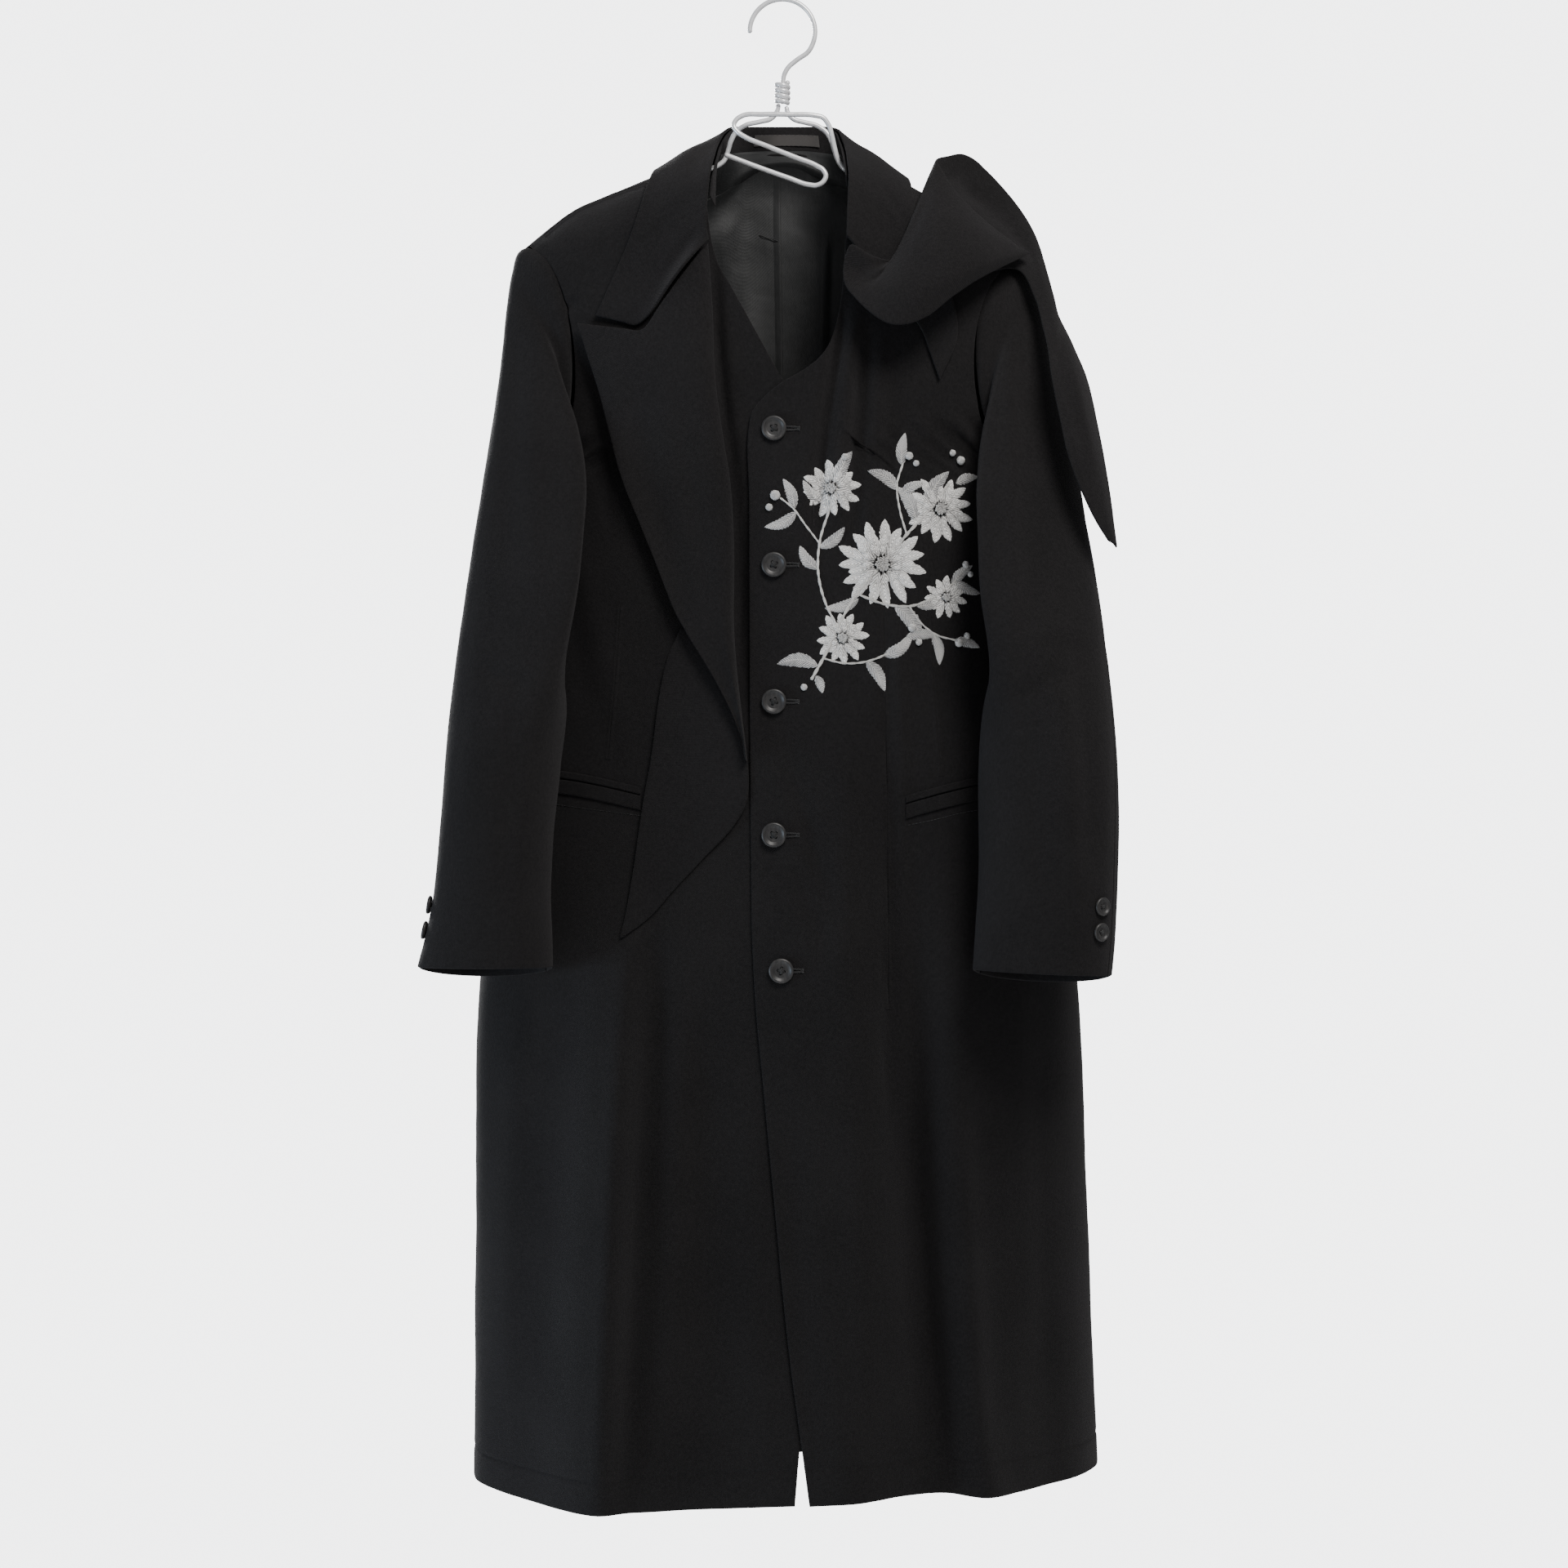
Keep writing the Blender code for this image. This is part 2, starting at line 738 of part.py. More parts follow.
def side_edge(side, where):
    """How far across the panel's outer edge is at a height, along the armhole and then the side seam."""
    turn, across, height = armhole(side)[where]
    outward = np.sign(across[0])
    order = np.argsort(height)

    def edge(at):
        centre, half, *_ = section(at)
        seam = centre + outward * (half - SIDE_INSET)
        hole = np.interp(at, height[order], across[order]) - outward * SEAM
        return np.where(at > UNDERARM_HEIGHT, hole, seam)

    return edge


def panel(inner, outer, top, hem, levels, columns, front):
    """Angles and reaches of a panel's grid: inner and outer give its edges across at a height,
    top its reach at a distance across, hem its lowest height there, and levels the shares of the way down."""
    share = levels[:, None]
    along = np.linspace(0, 1, columns + 1)[None, :]
    height = np.full((len(levels), columns + 1), -500.0)
    across = np.zeros_like(height)
    sign = -1 if front else 1
    for _ in range(40):
        low = sign * reach_of(ridge_height(across) - hem(across))
        reach = top(across) + (low - top(across)) * share
        height = ridge_height(across) - drop_of(reach)
        centre, half, *_ = section(height)
        start = np.arcsin(np.clip((inner(height, reach) - centre) / half, -1, 1))
        end = np.arcsin(np.clip((outer(height, reach) - centre) / half, -1, 1))
        angle = start + (end - start) * along
        across = across + 0.6 * (centre + half * np.sin(angle) - across)
    return angle, reach


def hem_height(across):
    return read_curve(HEM, across)[..., 0]


def front_panel(side, layers):
    outward = -1 if side == "right" else 1
    edge = RIGHT_FRONT_EDGE if side == "right" else LEFT_FRONT_EDGE
    outer = side_edge(side, "front")

    def inner(height, reach):
        return read_line(edge, height)

    def outer_edge(height, reach):
        return outer(height)

    def top(across):
        return np.full(np.shape(across), -SHOULDER_SEAM_REACH - SHOULDER_GAP)

    heights = stretches(FRONT_ROWS)
    reach = reach_of(ridge_height(read_line(edge, heights)) - heights)
    levels = (reach - reach[0]) / (reach[-1] - reach[0])
    angle, reach = panel(inner, outer_edge, top, hem_height, levels, FRONT_COLUMNS, True)
    shift = None
    if side == "right":
        points = body_at(angle, reach)
        lap = smooth_step(points[..., 0], LAP_FROM, LAP_TO) * smooth_step(-points[..., 2], 262, 312)
        shift = np.stack([0 * lap, LAP_STEP * lap, 0 * lap], axis=-1)
    body_wall(f"front_{side}", angle, reach, WOOL, shift=shift, layers=layers)


def back_panel(layers):
    edges = {}
    for side in ("right", "left"):
        over = {where: side_edge(side, where) for where in ("front", "back")}

        def edge(height, reach, over=over):
            return np.where(reach < 0, over["front"](height), over["back"](height))

        edges[side] = edge

    def top(across):
        neck = 1 - smooth_step(np.abs(across), NECK_INNER, NECK_OUTER)
        return -SHOULDER_SEAM_REACH + (BACK_NECK_REACH + SHOULDER_SEAM_REACH) * neck

    def hem(across):
        return np.full(np.shape(across), HEM_BACK_HEIGHT)

    angle, reach = panel(edges["right"], edges["left"], top, hem, stretches(BACK_ROWS), BACK_COLUMNS, False)
    body_wall("back", angle, reach, WOOL, layers=layers)
    normals = body_normal(angle, reach)
    inside = Layers()
    inside.add(body_at(angle, reach) - normals * CLOTH, -normals)
    return inside


def back_lining(inside):
    """The lining that shows through the neck, a little inside the back."""
    columns = np.linspace(-LINING_ANGLE, LINING_ANGLE, LINING_COLUMNS + 1)
    across = section(np.array(-150.0))[1] * np.sin(columns)
    neck = 1 - smooth_step(np.abs(across), NECK_INNER, LINING_NECK_OUTER)
    first = LINING_SIDE_REACH + (LINING_NECK_REACH - LINING_SIDE_REACH) * neck
    last = reach_of(ridge_height(across) - LINING_FOOT)
    levels = np.linspace(0, 1, LINING_ROWS + 1)[:, None] ** LINING_ROW_SPREAD
    reach = first + (last - first) * levels
    angle = np.broadcast_to(columns, reach.shape)
    normals = body_normal(angle, reach)
    face = clear_of(inside, body_at(angle, reach) - normals * (CLOTH + LINING_GAP), LINING_GAP, passes=10)
    wall_mesh("lining_back", face - normals * LINING, face, LINING_CLOTH)


# Sleeves


def armhole_ring(side, turn):
    """Points just outside the armhole with the body's directions, by angle from shoulder to front."""
    curves = armhole(side)
    wrapped = (turn + math.pi) % (2 * math.pi) - math.pi
    points, normals = np.zeros((2, len(turn), 3))
    for where, front in (("front", True), ("back", False)):
        steps, across, height = curves[where]
        chosen = wrapped >= 0 if front else wrapped < 0
        x = np.interp(np.abs(wrapped[chosen]), steps, across)
        z = np.interp(np.abs(wrapped[chosen]), steps, height)
        angle, reach = place(x, z, front)
        points[chosen] = body_at(angle, reach)
        normals[chosen] = body_normal(angle, reach)
    points[:, 0] += ARMHOLE_OUT * np.sign(points[:, 0])
    return points, normals


def sleeve_ring(side, ring, turn):
    """Points of one ring of a sleeve, by angle from its outer side toward the front."""
    outer_x, outer_z, inner_x, inner_z, middle, half, set_in_front, set_in_back = ring
    outward = -1 if side == "right" else 1
    cosine, sine = np.cos(turn), np.sin(turn)
    set_in = np.where(sine > 0, set_in_front, set_in_back)
    x = (outer_x + inner_x) / 2 + cosine * (outer_x - inner_x) / 2 - outward * set_in * sine**2
    z = (outer_z + inner_z) / 2 + cosine * (outer_z - inner_z) / 2
    return np.stack([x, middle - half * sine, z], axis=-1)


def sleeve_tube(side, layers):
    """The whole sleeve as a closed grid, the under sleeve's columns first, with its outward directions."""
    rings = SLEEVE_RINGS[side]
    rows = []
    for index in range(len(rings) + 1):
        share = index / len(rings)
        turned = float(smooth_step(share, 0, HIND_SEAM_SETTLES))
        hind = HIND_SEAM_AT_CAP + (HIND_SEAM_AT_CUFF[side] - HIND_SEAM_AT_CAP) * turned
        under = np.linspace(FORE_SEAM, hind, SLEEVE_COLUMNS["under"] + 1)[:-1]
        top = np.linspace(hind, FORE_SEAM + 360, SLEEVE_COLUMNS["top"] + 1)[:-1]
        turn = np.radians(np.concatenate([under, top]))
        if index == 0:
            first, first_normals = armhole_ring(side, turn)
            rows.append(first)
        else:
            rows.append(sleeve_ring(side, rings[index - 1], turn))
    tube = np.array(rows)
    tube[-1, :, 2] -= CUFF_BACK_DROP * np.maximum(-np.sin(turn), 0)
    closed = np.concatenate([tube[1:], tube[1:, :1]], axis=1)
    tube[1:] = clear_of(layers, closed, SLEEVE_GAP)[:, :-1]
    down = np.gradient(tube, axis=0)
    around = np.roll(tube, -1, axis=1) - np.roll(tube, 1, axis=1)
    normals = np.cross(down, around)
    normals = normals / np.linalg.norm(normals, axis=-1, keepdims=True)
    middle = tube.mean(axis=1, keepdims=True)
    if np.mean(np.sum(normals * (tube - middle), axis=-1)) < 0:
        normals = -normals
    meeting = first_normals + normals[1]
    normals[0] = meeting / np.linalg.norm(meeting, axis=-1, keepdims=True)
    return tube, normals


def sleeves(layers):
    found = {}
    for side in ("right", "left"):
        tube, normals = sleeve_tube(side, layers)
        split = SLEEVE_COLUMNS["under"]
        columns = tube.shape[1]
        for part, chosen in (
            ("under", range(split + 1)),
            ("top", [c % columns for c in range(split, columns + 1)]),
        ):
            face = tube[:, list(chosen)].copy()
            turned = normals[:, list(chosen)]
            for edge, inside in ((0, 1), (-1, -2)):
                step = face[:, inside] - face[:, edge]
                face[:, edge] += step / np.linalg.norm(step, axis=-1, keepdims=True) * SEAM
            wall_mesh(f"sleeve_{side}_{part}", face, face - turned * CLOTH, WOOL)
            layers.add(face, turned)
        found[side] = (tube, normals)
    return found


# Collar


def collar_rows():
    """The collar's stations, spaced evenly and smoothly: crease, foot and the leaf's outer edge."""
    table = through(COLLAR_STATIONS, COLLAR_COUNT)
    crease, foot, across, reach = table[:, :3], table[:, 3:6], table[:, 6], table[:, 7]
    centre, half, *_ = section(ridge_height(across) - drop_of(reach))
    angle = np.arcsin((across - centre) / half)
    edge = body_at(angle, reach) + body_normal(angle, reach) * LEAF_LIFT
    return crease, foot, edge


def collar_leaf(layers):
    """The fall of the collar, from the crease over the shoulders to its outer edge."""
    crease, _, edge = collar_rows()
    knee = (crease + edge) / 2
    knee[:, 2] += CREASE_RISE
    last = COLLAR_COUNT - 1
    for end, gorge in ((0, LEAF_GORGE_RIGHT), (last, LEAF_GORGE_LEFT)):
        notch = on_body(gorge[0], gorge[1], LEAF_LIFT)
        bend = notch - knee[end]
        for distance, share in LEAF_BEND:
            knee[abs(end - distance)] += bend * share
    rows = []
    for share in np.linspace(0, 1, LEAF_ROWS + 1):
        near = crease + (knee - crease) * min(share * 2, 1)
        rows.append(near + (edge - knee) * max(share * 2 - 1, 0))
    grid = np.array(rows)
    grid[1:] = clear_of(layers, grid[1:], LAYER_GAP)
    normals = facing_away(grid, LEAF_CENTRE)
    face = grid + normals * COLLAR_CLOTH
    wall_mesh("collar_leaf", face, grid, WOOL)
    layers.add(face, normals)


def stand_face():
    """The stand's face toward the neck, from the crease down to its foot, and the way into the neck."""
    crease, foot, _ = collar_rows()
    chosen = slice(STAND_SKIP, COLLAR_COUNT - STAND_SKIP)
    crease, foot = crease[chosen], foot[chosen]
    inward = NECK_AXIS - crease
    inward[:, 2] = 0
    inward = inward / np.linalg.norm(inward, axis=-1, keepdims=True)
    top = crease + inward * STAND_INSET
    top[:, 2] -= STAND_LOWER
    share = np.linspace(0, 1, STAND_ROWS + 1)[:, None, None]
    return top[None] + (foot + inward * STAND_INSET - top)[None] * share, inward


def collar_stand():
    grid, inward = stand_face()
    wall_mesh("collar_stand", grid, grid - inward[None] * CLOTH, WOOL)


def neck_label():
    """A bare woven label on the stand at the back of the neck."""
    grid, inward = stand_face()
    steps = np.arange(grid.shape[1])
    behind = grid[0, :, 1] > 0
    middle = np.interp(LABEL_CENTRE, grid[0, behind, 0], steps[behind])
    wanted = middle + np.linspace(-LABEL_HALF, LABEL_HALF, LABEL_COLUMNS + 1)

    def picked(points):
        return np.stack([np.interp(wanted, steps, points[:, k]) for k in range(3)], axis=-1)

    top, foot, into = picked(grid[0]), picked(grid[-1]), picked(inward)
    shares = np.array(LABEL_SHARES)[:, None, None]
    back = top + (foot - top) * shares + into * LABEL_GAP
    wall_mesh("neck_label", back + into * LABEL_CLOTH, back, LABEL)


# Lapels


def lapel_right(layers):
    share = np.linspace(0, 1, LAPEL_ROWS + 1)
    roll_z = LAPEL_ROLL[0][0] + (LAPEL_ROLL[-1][0] - LAPEL_ROLL[0][0]) * share
    outer_z = LAPEL_OUTER[0][0] + (LAPEL_OUTER[-1][0] - LAPEL_OUTER[0][0]) * share
    roll = np.stack([read_curve(LAPEL_ROLL, roll_z)[..., 0], roll_z], axis=-1)
    outer = np.stack([read_curve(LAPEL_OUTER, outer_z)[..., 0], outer_z], axis=-1)
    knee = (roll + outer) / 2
    bend = np.array(LAPEL_NOTCH) - knee[0]
    knee = knee + bend * (1 - smooth_step(share, 0, LAPEL_NOTCH_ENDS))[:, None]
    rest = np.linspace(LAPEL_NEXT_COLUMN, 1, LAPEL_COLUMNS + 1 - len(LAPEL_ROLL_COLUMNS))
    along = np.concatenate([LAPEL_ROLL_COLUMNS, rest])
    first = np.clip(along * 2, 0, 1)[None, :, None]
    second = np.clip(along * 2 - 1, 0, 1)[None, :, None]
    flat = roll[:, None] + (knee - roll)[:, None] * first + (outer - knee)[:, None] * second
    lift = read_line(LAPEL_LIFT, along)[None, :] * np.ones(flat.shape[:2])
    angle, reach = place(flat[..., 0], flat[..., 1])
    normals = body_normal(angle, reach)
    back = clear_of(layers, body_at(angle, reach) + normals * (lift - COLLAR_CLOTH)[..., None], SEAM)
    face = back + normals * COLLAR_CLOTH
    wall_mesh("lapel_right", face, back, WOOL)
    layers.add(face, normals)


def lapel_right_tail(layers):
    share = np.linspace(0, 1, TAIL_ROWS + 1)
    inner, outer = read_curve(TAIL_INNER, share), read_curve(TAIL_OUTER, share)
    along = np.linspace(0, 1, TAIL_COLUMNS + 1)[None, :, None]
    flat = inner[:, None] + (outer - inner)[:, None] * along
    angle, reach = place(flat[..., 0], flat[..., 1])
    normals = body_normal(angle, reach)
    back = clear_of(layers, body_at(angle, reach) + normals * TAIL_LIFT, SEAM)
    face = back + normals * CLOTH
    wall_mesh("lapel_right_tail", face, back, WOOL)
    layers.add(face, normals)


def lapel_left(layers):
    """The long lapel thrown over the shoulder, with its tail down the outside of the sleeve."""
    sections = through(SCARF_SECTIONS, SCARF_STEPS + 1)
    places = np.array([0, 1, 2, 3], float) / 3
    grid = []
    for row in sections:
        table = np.column_stack([places, row.reshape(4, 3)])
        grid.append(read_curve(table, np.linspace(0, 1, SCARF_COLUMNS + 1)))
    grid = clear_of(layers, np.array(grid), SCARF_GAP, passes=8)
    normals = grid_normals(grid)
    wall_mesh("lapel_left", grid - normals * CLOTH, grid, WOOL)


# Pockets and buttons


def pockets(layers):
    for side, (inner, outer, inner_z, outer_z) in POCKETS.items():
        share = np.linspace(0, 1, POCKET_COLUMNS + 1)
        across = inner + (outer - inner) * share
        mouth = inner_z + (outer_z - inner_z) * np.sin(share * math.pi / 2)
        for name, high, low in (
            ("jet", JET_DEPTH + POCKET_SLIT / 2, POCKET_SLIT / 2),
            ("welt", -POCKET_SLIT / 2, -WELT_DEPTH - POCKET_SLIT / 2),
        ):
            height = np.stack([mouth + high, mouth + low])
            angle, reach = place(np.stack([across, across]), height)
            normals = body_normal(angle, reach)
            back = clear_of(layers, body_at(angle, reach) + normals * SEAM, SEAM)
            face = back + normals * JET_CLOTH
            wall_mesh(f"pocket_{side}_{name}", face, back, WOOL)
            layers.add(face, normals)


def add_button(name, point, normal, diameter):
    """A turned button with a raised rim, its back on the cloth."""
    axis = Vector(normal).normalized()
    side = axis.cross(Vector((0, 0, 1))).normalized()
    up = side.cross(axis)
    base = Vector(point) + axis * BUTTON_GAP
    points, faces = [], []
    for radius, height in BUTTON_PROFILE:
        for step in range(BUTTON_SIDES):
            turn = 2 * math.pi * step / BUTTON_SIDES
            out = (side * math.cos(turn) + up * math.sin(turn)) * radius * diameter / 2
            points.append(base + out + axis * height * BUTTON_HEIGHT)
    rings = len(BUTTON_PROFILE)
    for ring in range(rings - 1):
        for step in range(BUTTON_SIDES):
            after = (step + 1) % BUTTON_SIDES
            a, b = ring * BUTTON_SIDES, (ring + 1) * BUTTON_SIDES
            faces.append((a + step, a + after, b + after, b + step))
    faces.append(tuple(range(BUTTON_SIDES)))
    faces.append(tuple((rings - 1) * BUTTON_SIDES + step for step in reversed(range(BUTTON_SIDES))))
    add_mesh(name, points, faces, HORN, smooth_angle=30.0)


def buttons(sleeve):
    for index, (across, height) in enumerate(FRONT_BUTTONS, start=1):
        spot = place(np.array(float(across)), np.array(float(height)))
        add_button(f"button_front_{index}", body_at(*spot), body_normal(*spot), FRONT_BUTTON_DIAMETER)
    for side, (tube, normals) in sleeve.items():
        split = SLEEVE_COLUMNS["under"]
        hind = HIND_SEAM_AT_CUFF[side]
        step = (FORE_SEAM + 360 - hind) / SLEEVE_COLUMNS["top"]
        column = split + (CUFF_BUTTON_TURN[side] - hind) / step
        first = int(column)
        share = column - first
        line = tube[:, first] * (1 - share) + tube[:, first + 1] * share
        turned = normals[:, first] * (1 - share) + normals[:, first + 1] * share
        order = np.argsort(line[:, 2])
        for index, height in enumerate(CUFF_BUTTON_HEIGHTS, start=1):
            at = [np.interp(height, line[order, 2], line[order, k]) for k in range(3)]
            out = [np.interp(height, line[order, 2], turned[order, k]) for k in range(3)]
            add_button(f"button_cuff_{side}_{index}", at, out, CUFF_BUTTON_DIAMETER)


# The wire hanger


def wire(name, route):
    """A bent wire along a smooth route."""
    curve = bpy.data.curves.new(name, "CURVE")
    curve.dimensions = "3D"
    curve.bevel_depth = WIRE / 2 * MM
    curve.bevel_resolution = 2
    curve.use_fill_caps = True
    spline = curve.splines.new("POLY")
    spline.points.add(len(route) - 1)
    for point, place_on in zip(spline.points, route):
        point.co = (*(Vector(place_on) * MM), 1.0)
    return add_object(name, curve, STEEL)


def hanger():
    top = WIRE / 2
    centre = top - HOOK_RADIUS
    turns = np.radians(np.linspace(HOOK_TIP_TURN, HOOK_END_TURN, HOOK_POINTS))
    hook = [(HOOK_RADIUS * math.cos(t), 0, centre + HOOK_RADIUS * math.sin(t)) for t in turns]
    hook += [(x, 0, z) for x, z in HOOK_STEM]
    wire("hanger_hook", hook)
    radius = WIRE + TWIST_GAP
    twist = []
    for step in range(TWIST_TURNS * TWIST_SIDES + 1):
        turn = 2 * math.pi * step / TWIST_SIDES
        height = TWIST_TOP - TWIST_PITCH * step / TWIST_SIDES
        twist.append((radius * math.cos(turn), radius * math.sin(turn), height))
    wire("hanger_twist", twist)
    under = CLOTH + ARM_GAP + WIRE / 2
    for side, start in ARM_ROUTES.items():
        route = [(x, 0, z) for x, z in start]
        outward = -1 if side == "right" else 1
        for across in ARM_UNDER_SHOULDER[side]:
            slope = float(ridge_height(np.array(across + 1.0)) - ridge_height(np.array(across - 1.0))) / 2
            normal = np.array([-slope, 0, 1]) / math.hypot(slope, 1)
            point = np.array([across, 0, float(ridge_height(np.array(float(across))))])
            route.append(tuple(point - normal * under))
        x, _, z = route[-1]
        route += [(x + outward * out, 0, z - down) for out, down in ARM_TIP]
        wire(f"hanger_arm_{side}", through(route, len(route) + 2))
    wire("hanger_clip", through(CLIP_ROUTE, len(CLIP_ROUTE) + 4))


def main():
    clear_scene()
    layers = Layers()
    front_panel("right", layers)
    front_panel("left", layers)
    back_lining(back_panel(layers))
    sleeve = sleeves(layers)
    pockets(layers)
    lapel_right_tail(layers)
    lapel_right(layers)
    collar_leaf(layers)
    collar_stand()
    neck_label()
    lapel_left(layers)
    buttons(sleeve)
    hanger()


main()
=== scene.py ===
"""The look of a long black wool coat with an embroidered front, on a wire hanger.

Sizes are in millimetres here and in metres in the meshes. The wearer's left is +X, the front is -Y
and up is +Z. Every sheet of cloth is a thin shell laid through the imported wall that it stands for.
"""

from math import cos, exp, pi, radians, sin, sqrt

import bmesh
import bpy
import numpy as np
from mathutils import Matrix, Vector, noise
from mathutils.bvhtree import BVHTree
from numpy.linalg import norm


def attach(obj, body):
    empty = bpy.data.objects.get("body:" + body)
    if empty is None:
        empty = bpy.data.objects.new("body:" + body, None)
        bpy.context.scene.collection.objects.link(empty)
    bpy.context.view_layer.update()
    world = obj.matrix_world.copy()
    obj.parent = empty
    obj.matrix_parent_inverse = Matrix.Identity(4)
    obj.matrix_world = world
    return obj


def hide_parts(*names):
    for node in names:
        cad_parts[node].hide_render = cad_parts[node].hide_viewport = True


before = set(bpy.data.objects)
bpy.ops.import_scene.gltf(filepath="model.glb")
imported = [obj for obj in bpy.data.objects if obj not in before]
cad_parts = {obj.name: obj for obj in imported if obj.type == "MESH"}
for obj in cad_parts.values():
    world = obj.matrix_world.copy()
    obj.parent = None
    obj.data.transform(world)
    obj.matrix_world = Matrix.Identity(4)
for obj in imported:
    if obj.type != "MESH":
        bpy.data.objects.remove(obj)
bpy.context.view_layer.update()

MM = 0.001
FRONT = (0, -1, 0)


def rows_of(text):
    """The numbers in a text, a row to a line."""
    return [[float(word) for word in line.split()] for line in text.strip().splitlines()]


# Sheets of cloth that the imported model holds, each as a wall of rows and columns.
WALLS = {
    # node: rows, columns, cloth, first corner, end of the first row, way that it shows, cell, folds it takes,
    # how it is held, and the pieces that carry it
    "back": (24, 21, 2.0, (-217, -9, -211), (201, -9, -224), (0, 1, 0), 6.5, "back",
        "hung", "hanger_arm_right", "hanger_arm_left"),
    "front_right": (30, 11, 2.0, (-67, -18, -136), (-216, -9, -211), FRONT, 4.0, "front",
        "hung", "coat_back"),
    "front_left": (30, 11, 2.0, (65, -17, -140), (199, -9, -225), FRONT, 4.0, "front",
        "hung", "coat_back", "coat_front_right"),
    "lining_back": (13, 13, 1.0, (-135, 19, -173), (119, 19, -176), FRONT, 4.0, "lining",
        "hung", "coat_back"),
    "sleeve_right_top": (13, 14, 2.0, (-199, 35, -258), (-201, 27, -391), (-1, -1, 0), 4.5, "sleeve",
        "hung", "coat_back", "coat_front_right"),
    "sleeve_right_under": (13, 10, 2.0, (-200, 29, -391), (-200, 37, -258), (0.3, 1, 0), 5.0, "sleeve",
        "hung", "coat_sleeve_right_top"),
    "sleeve_left_top": (13, 14, 2.0, (187, 36, -268), (197, 27, -391), (1, -1, 0), 4.5, "sleeve",
        "hung", "coat_back", "coat_front_left"),
    "sleeve_left_under": (13, 10, 2.0, (197, 27, -391), (186, 36, -268), (-0.3, 1, 0), 5.0, "sleeve",
        "hung", "coat_sleeve_left_top"),
    "collar_leaf": (8, 25, 2.4, (-61, -75, -216), (54, -76, -213), (0, -0.3, 1), 3.0, "collar",
        "folded", "coat_collar_stand", "coat_back"),
    "collar_stand": (4, 19, 2.0, (-60, -65, -178), (53, -53, -158), FRONT, 3.0, "collar",
        "hung", "coat_back"),
    "neck_label": (2, 7, 0.6, (-24, 46, -105), (31, 42, -107), FRONT, 2.0, "label",
        "laid", "coat_collar_stand"),
    "lapel_right": (19, 10, 2.4, (-62, -67, -218), (-172, -54, -283), FRONT, 3.0, "front",
        "folded", "coat_front_right"),
    "lapel_right_tail": (15, 6, 2.0, (-40, -81, -560), (-84, -75, -540), FRONT, 3.0, "front",
        "folded", "coat_front_right"),
    "lapel_left": (29, 8, 2.0, (209, -36, -222), (200, -38, -219), (0.3, -1, 0.3), 3.0, "scarf",
        "draped", "coat_collar_leaf", "coat_sleeve_left_top"),
    **{
        f"pocket_{side}_{strip}": (2, 13, 1.3, (*first, z - drop), (*last, end_z - drop), FRONT, 2.5, "front",
                                   "folded", f"coat_front_{side}")
        for side, first, z, last, end_z in (("right", (-118, -84), -673, (-222, -60), -657),
                                            ("left", (103, -62), -680, (220, -50), -659))
        for strip, drop in (("jet", 0), ("welt", 8))
    },
}
# The turned-up hem of a sheet, above its last row.
TURN_UP = {"back": 30, "front_right": 28, "front_left": 30}
TURN_UP_DEPTH, TURN_UP_HALF = 0.9, 2.0
TURN_UP_LINES = (-4.0, -2.2, -1.1, 0.0, 1.1, 2.2, 4.0)
RIM, RIM_CLEAR = 1.0, 1.5
RIM_LINES = (0.0, 0.12, 0.45, 1.0)
# How far a sleeve's head goes in under the armhole's edge.
TUCK_BACK, TUCK_UNDER = 3.2, 2.6
# Cloth that stands off at its last column, as the edge of a lapel does, and at its last row.
LIFTED = {
    # node: how far, and the share of its rows that it begins and ends at
    "lapel_right": (5.0, 0.0, 1.0), "lapel_right_tail": (2.5, 0.0, 1.0), "lapel_left": (3.5, 0.03, 0.42),
}
NOT_LIFTED = (0.0, 0.0, 1.0)
LIFTED_ROWS = {"collar_leaf": 0.7}
# How much of each row of the thrown lapel is turned away behind its lower edge.
TURNED_AWAY = {
    "lapel_left": (0,) * 16 + (0.08, 0.22, 0.10, 0.03, 0.03, 0.04, 0.05, 0.06, 0.06, 0.06, 0.05, 0.02, 0),
}
# The neck band: the columns that it joins, of the stand's foot and of the lining's top.
BAND_STAND, BAND_LINING = (5, 14), (3.0, 10.0)
BAND_ROWS = (
    # share of the way down, height over the straight way
    (0.0, 0.2), (0.25, 0.5), (0.5, 0.6), (0.75, 0.4), (1.0, 0.2),
)
BAND_CLOTH, BAND_CELL, BAND_TURNED_IN = 1.0, 2.5, (0, 0.9, 0)
# The side seams are closed below the underarm: how far the fronts run on, and where that starts.
SEAM_CLOSED = ("front_right", "front_left")
SEAM_MEETS, SEAM_STARTS = 1.0, (310, 380)
SLOPE_LIMIT = 1.5
# The least width or length of a cut in metres, and how far before or behind the coat a ray starts.
SHORTEST_CUT, FAR_OFF = 0.012, 600.0

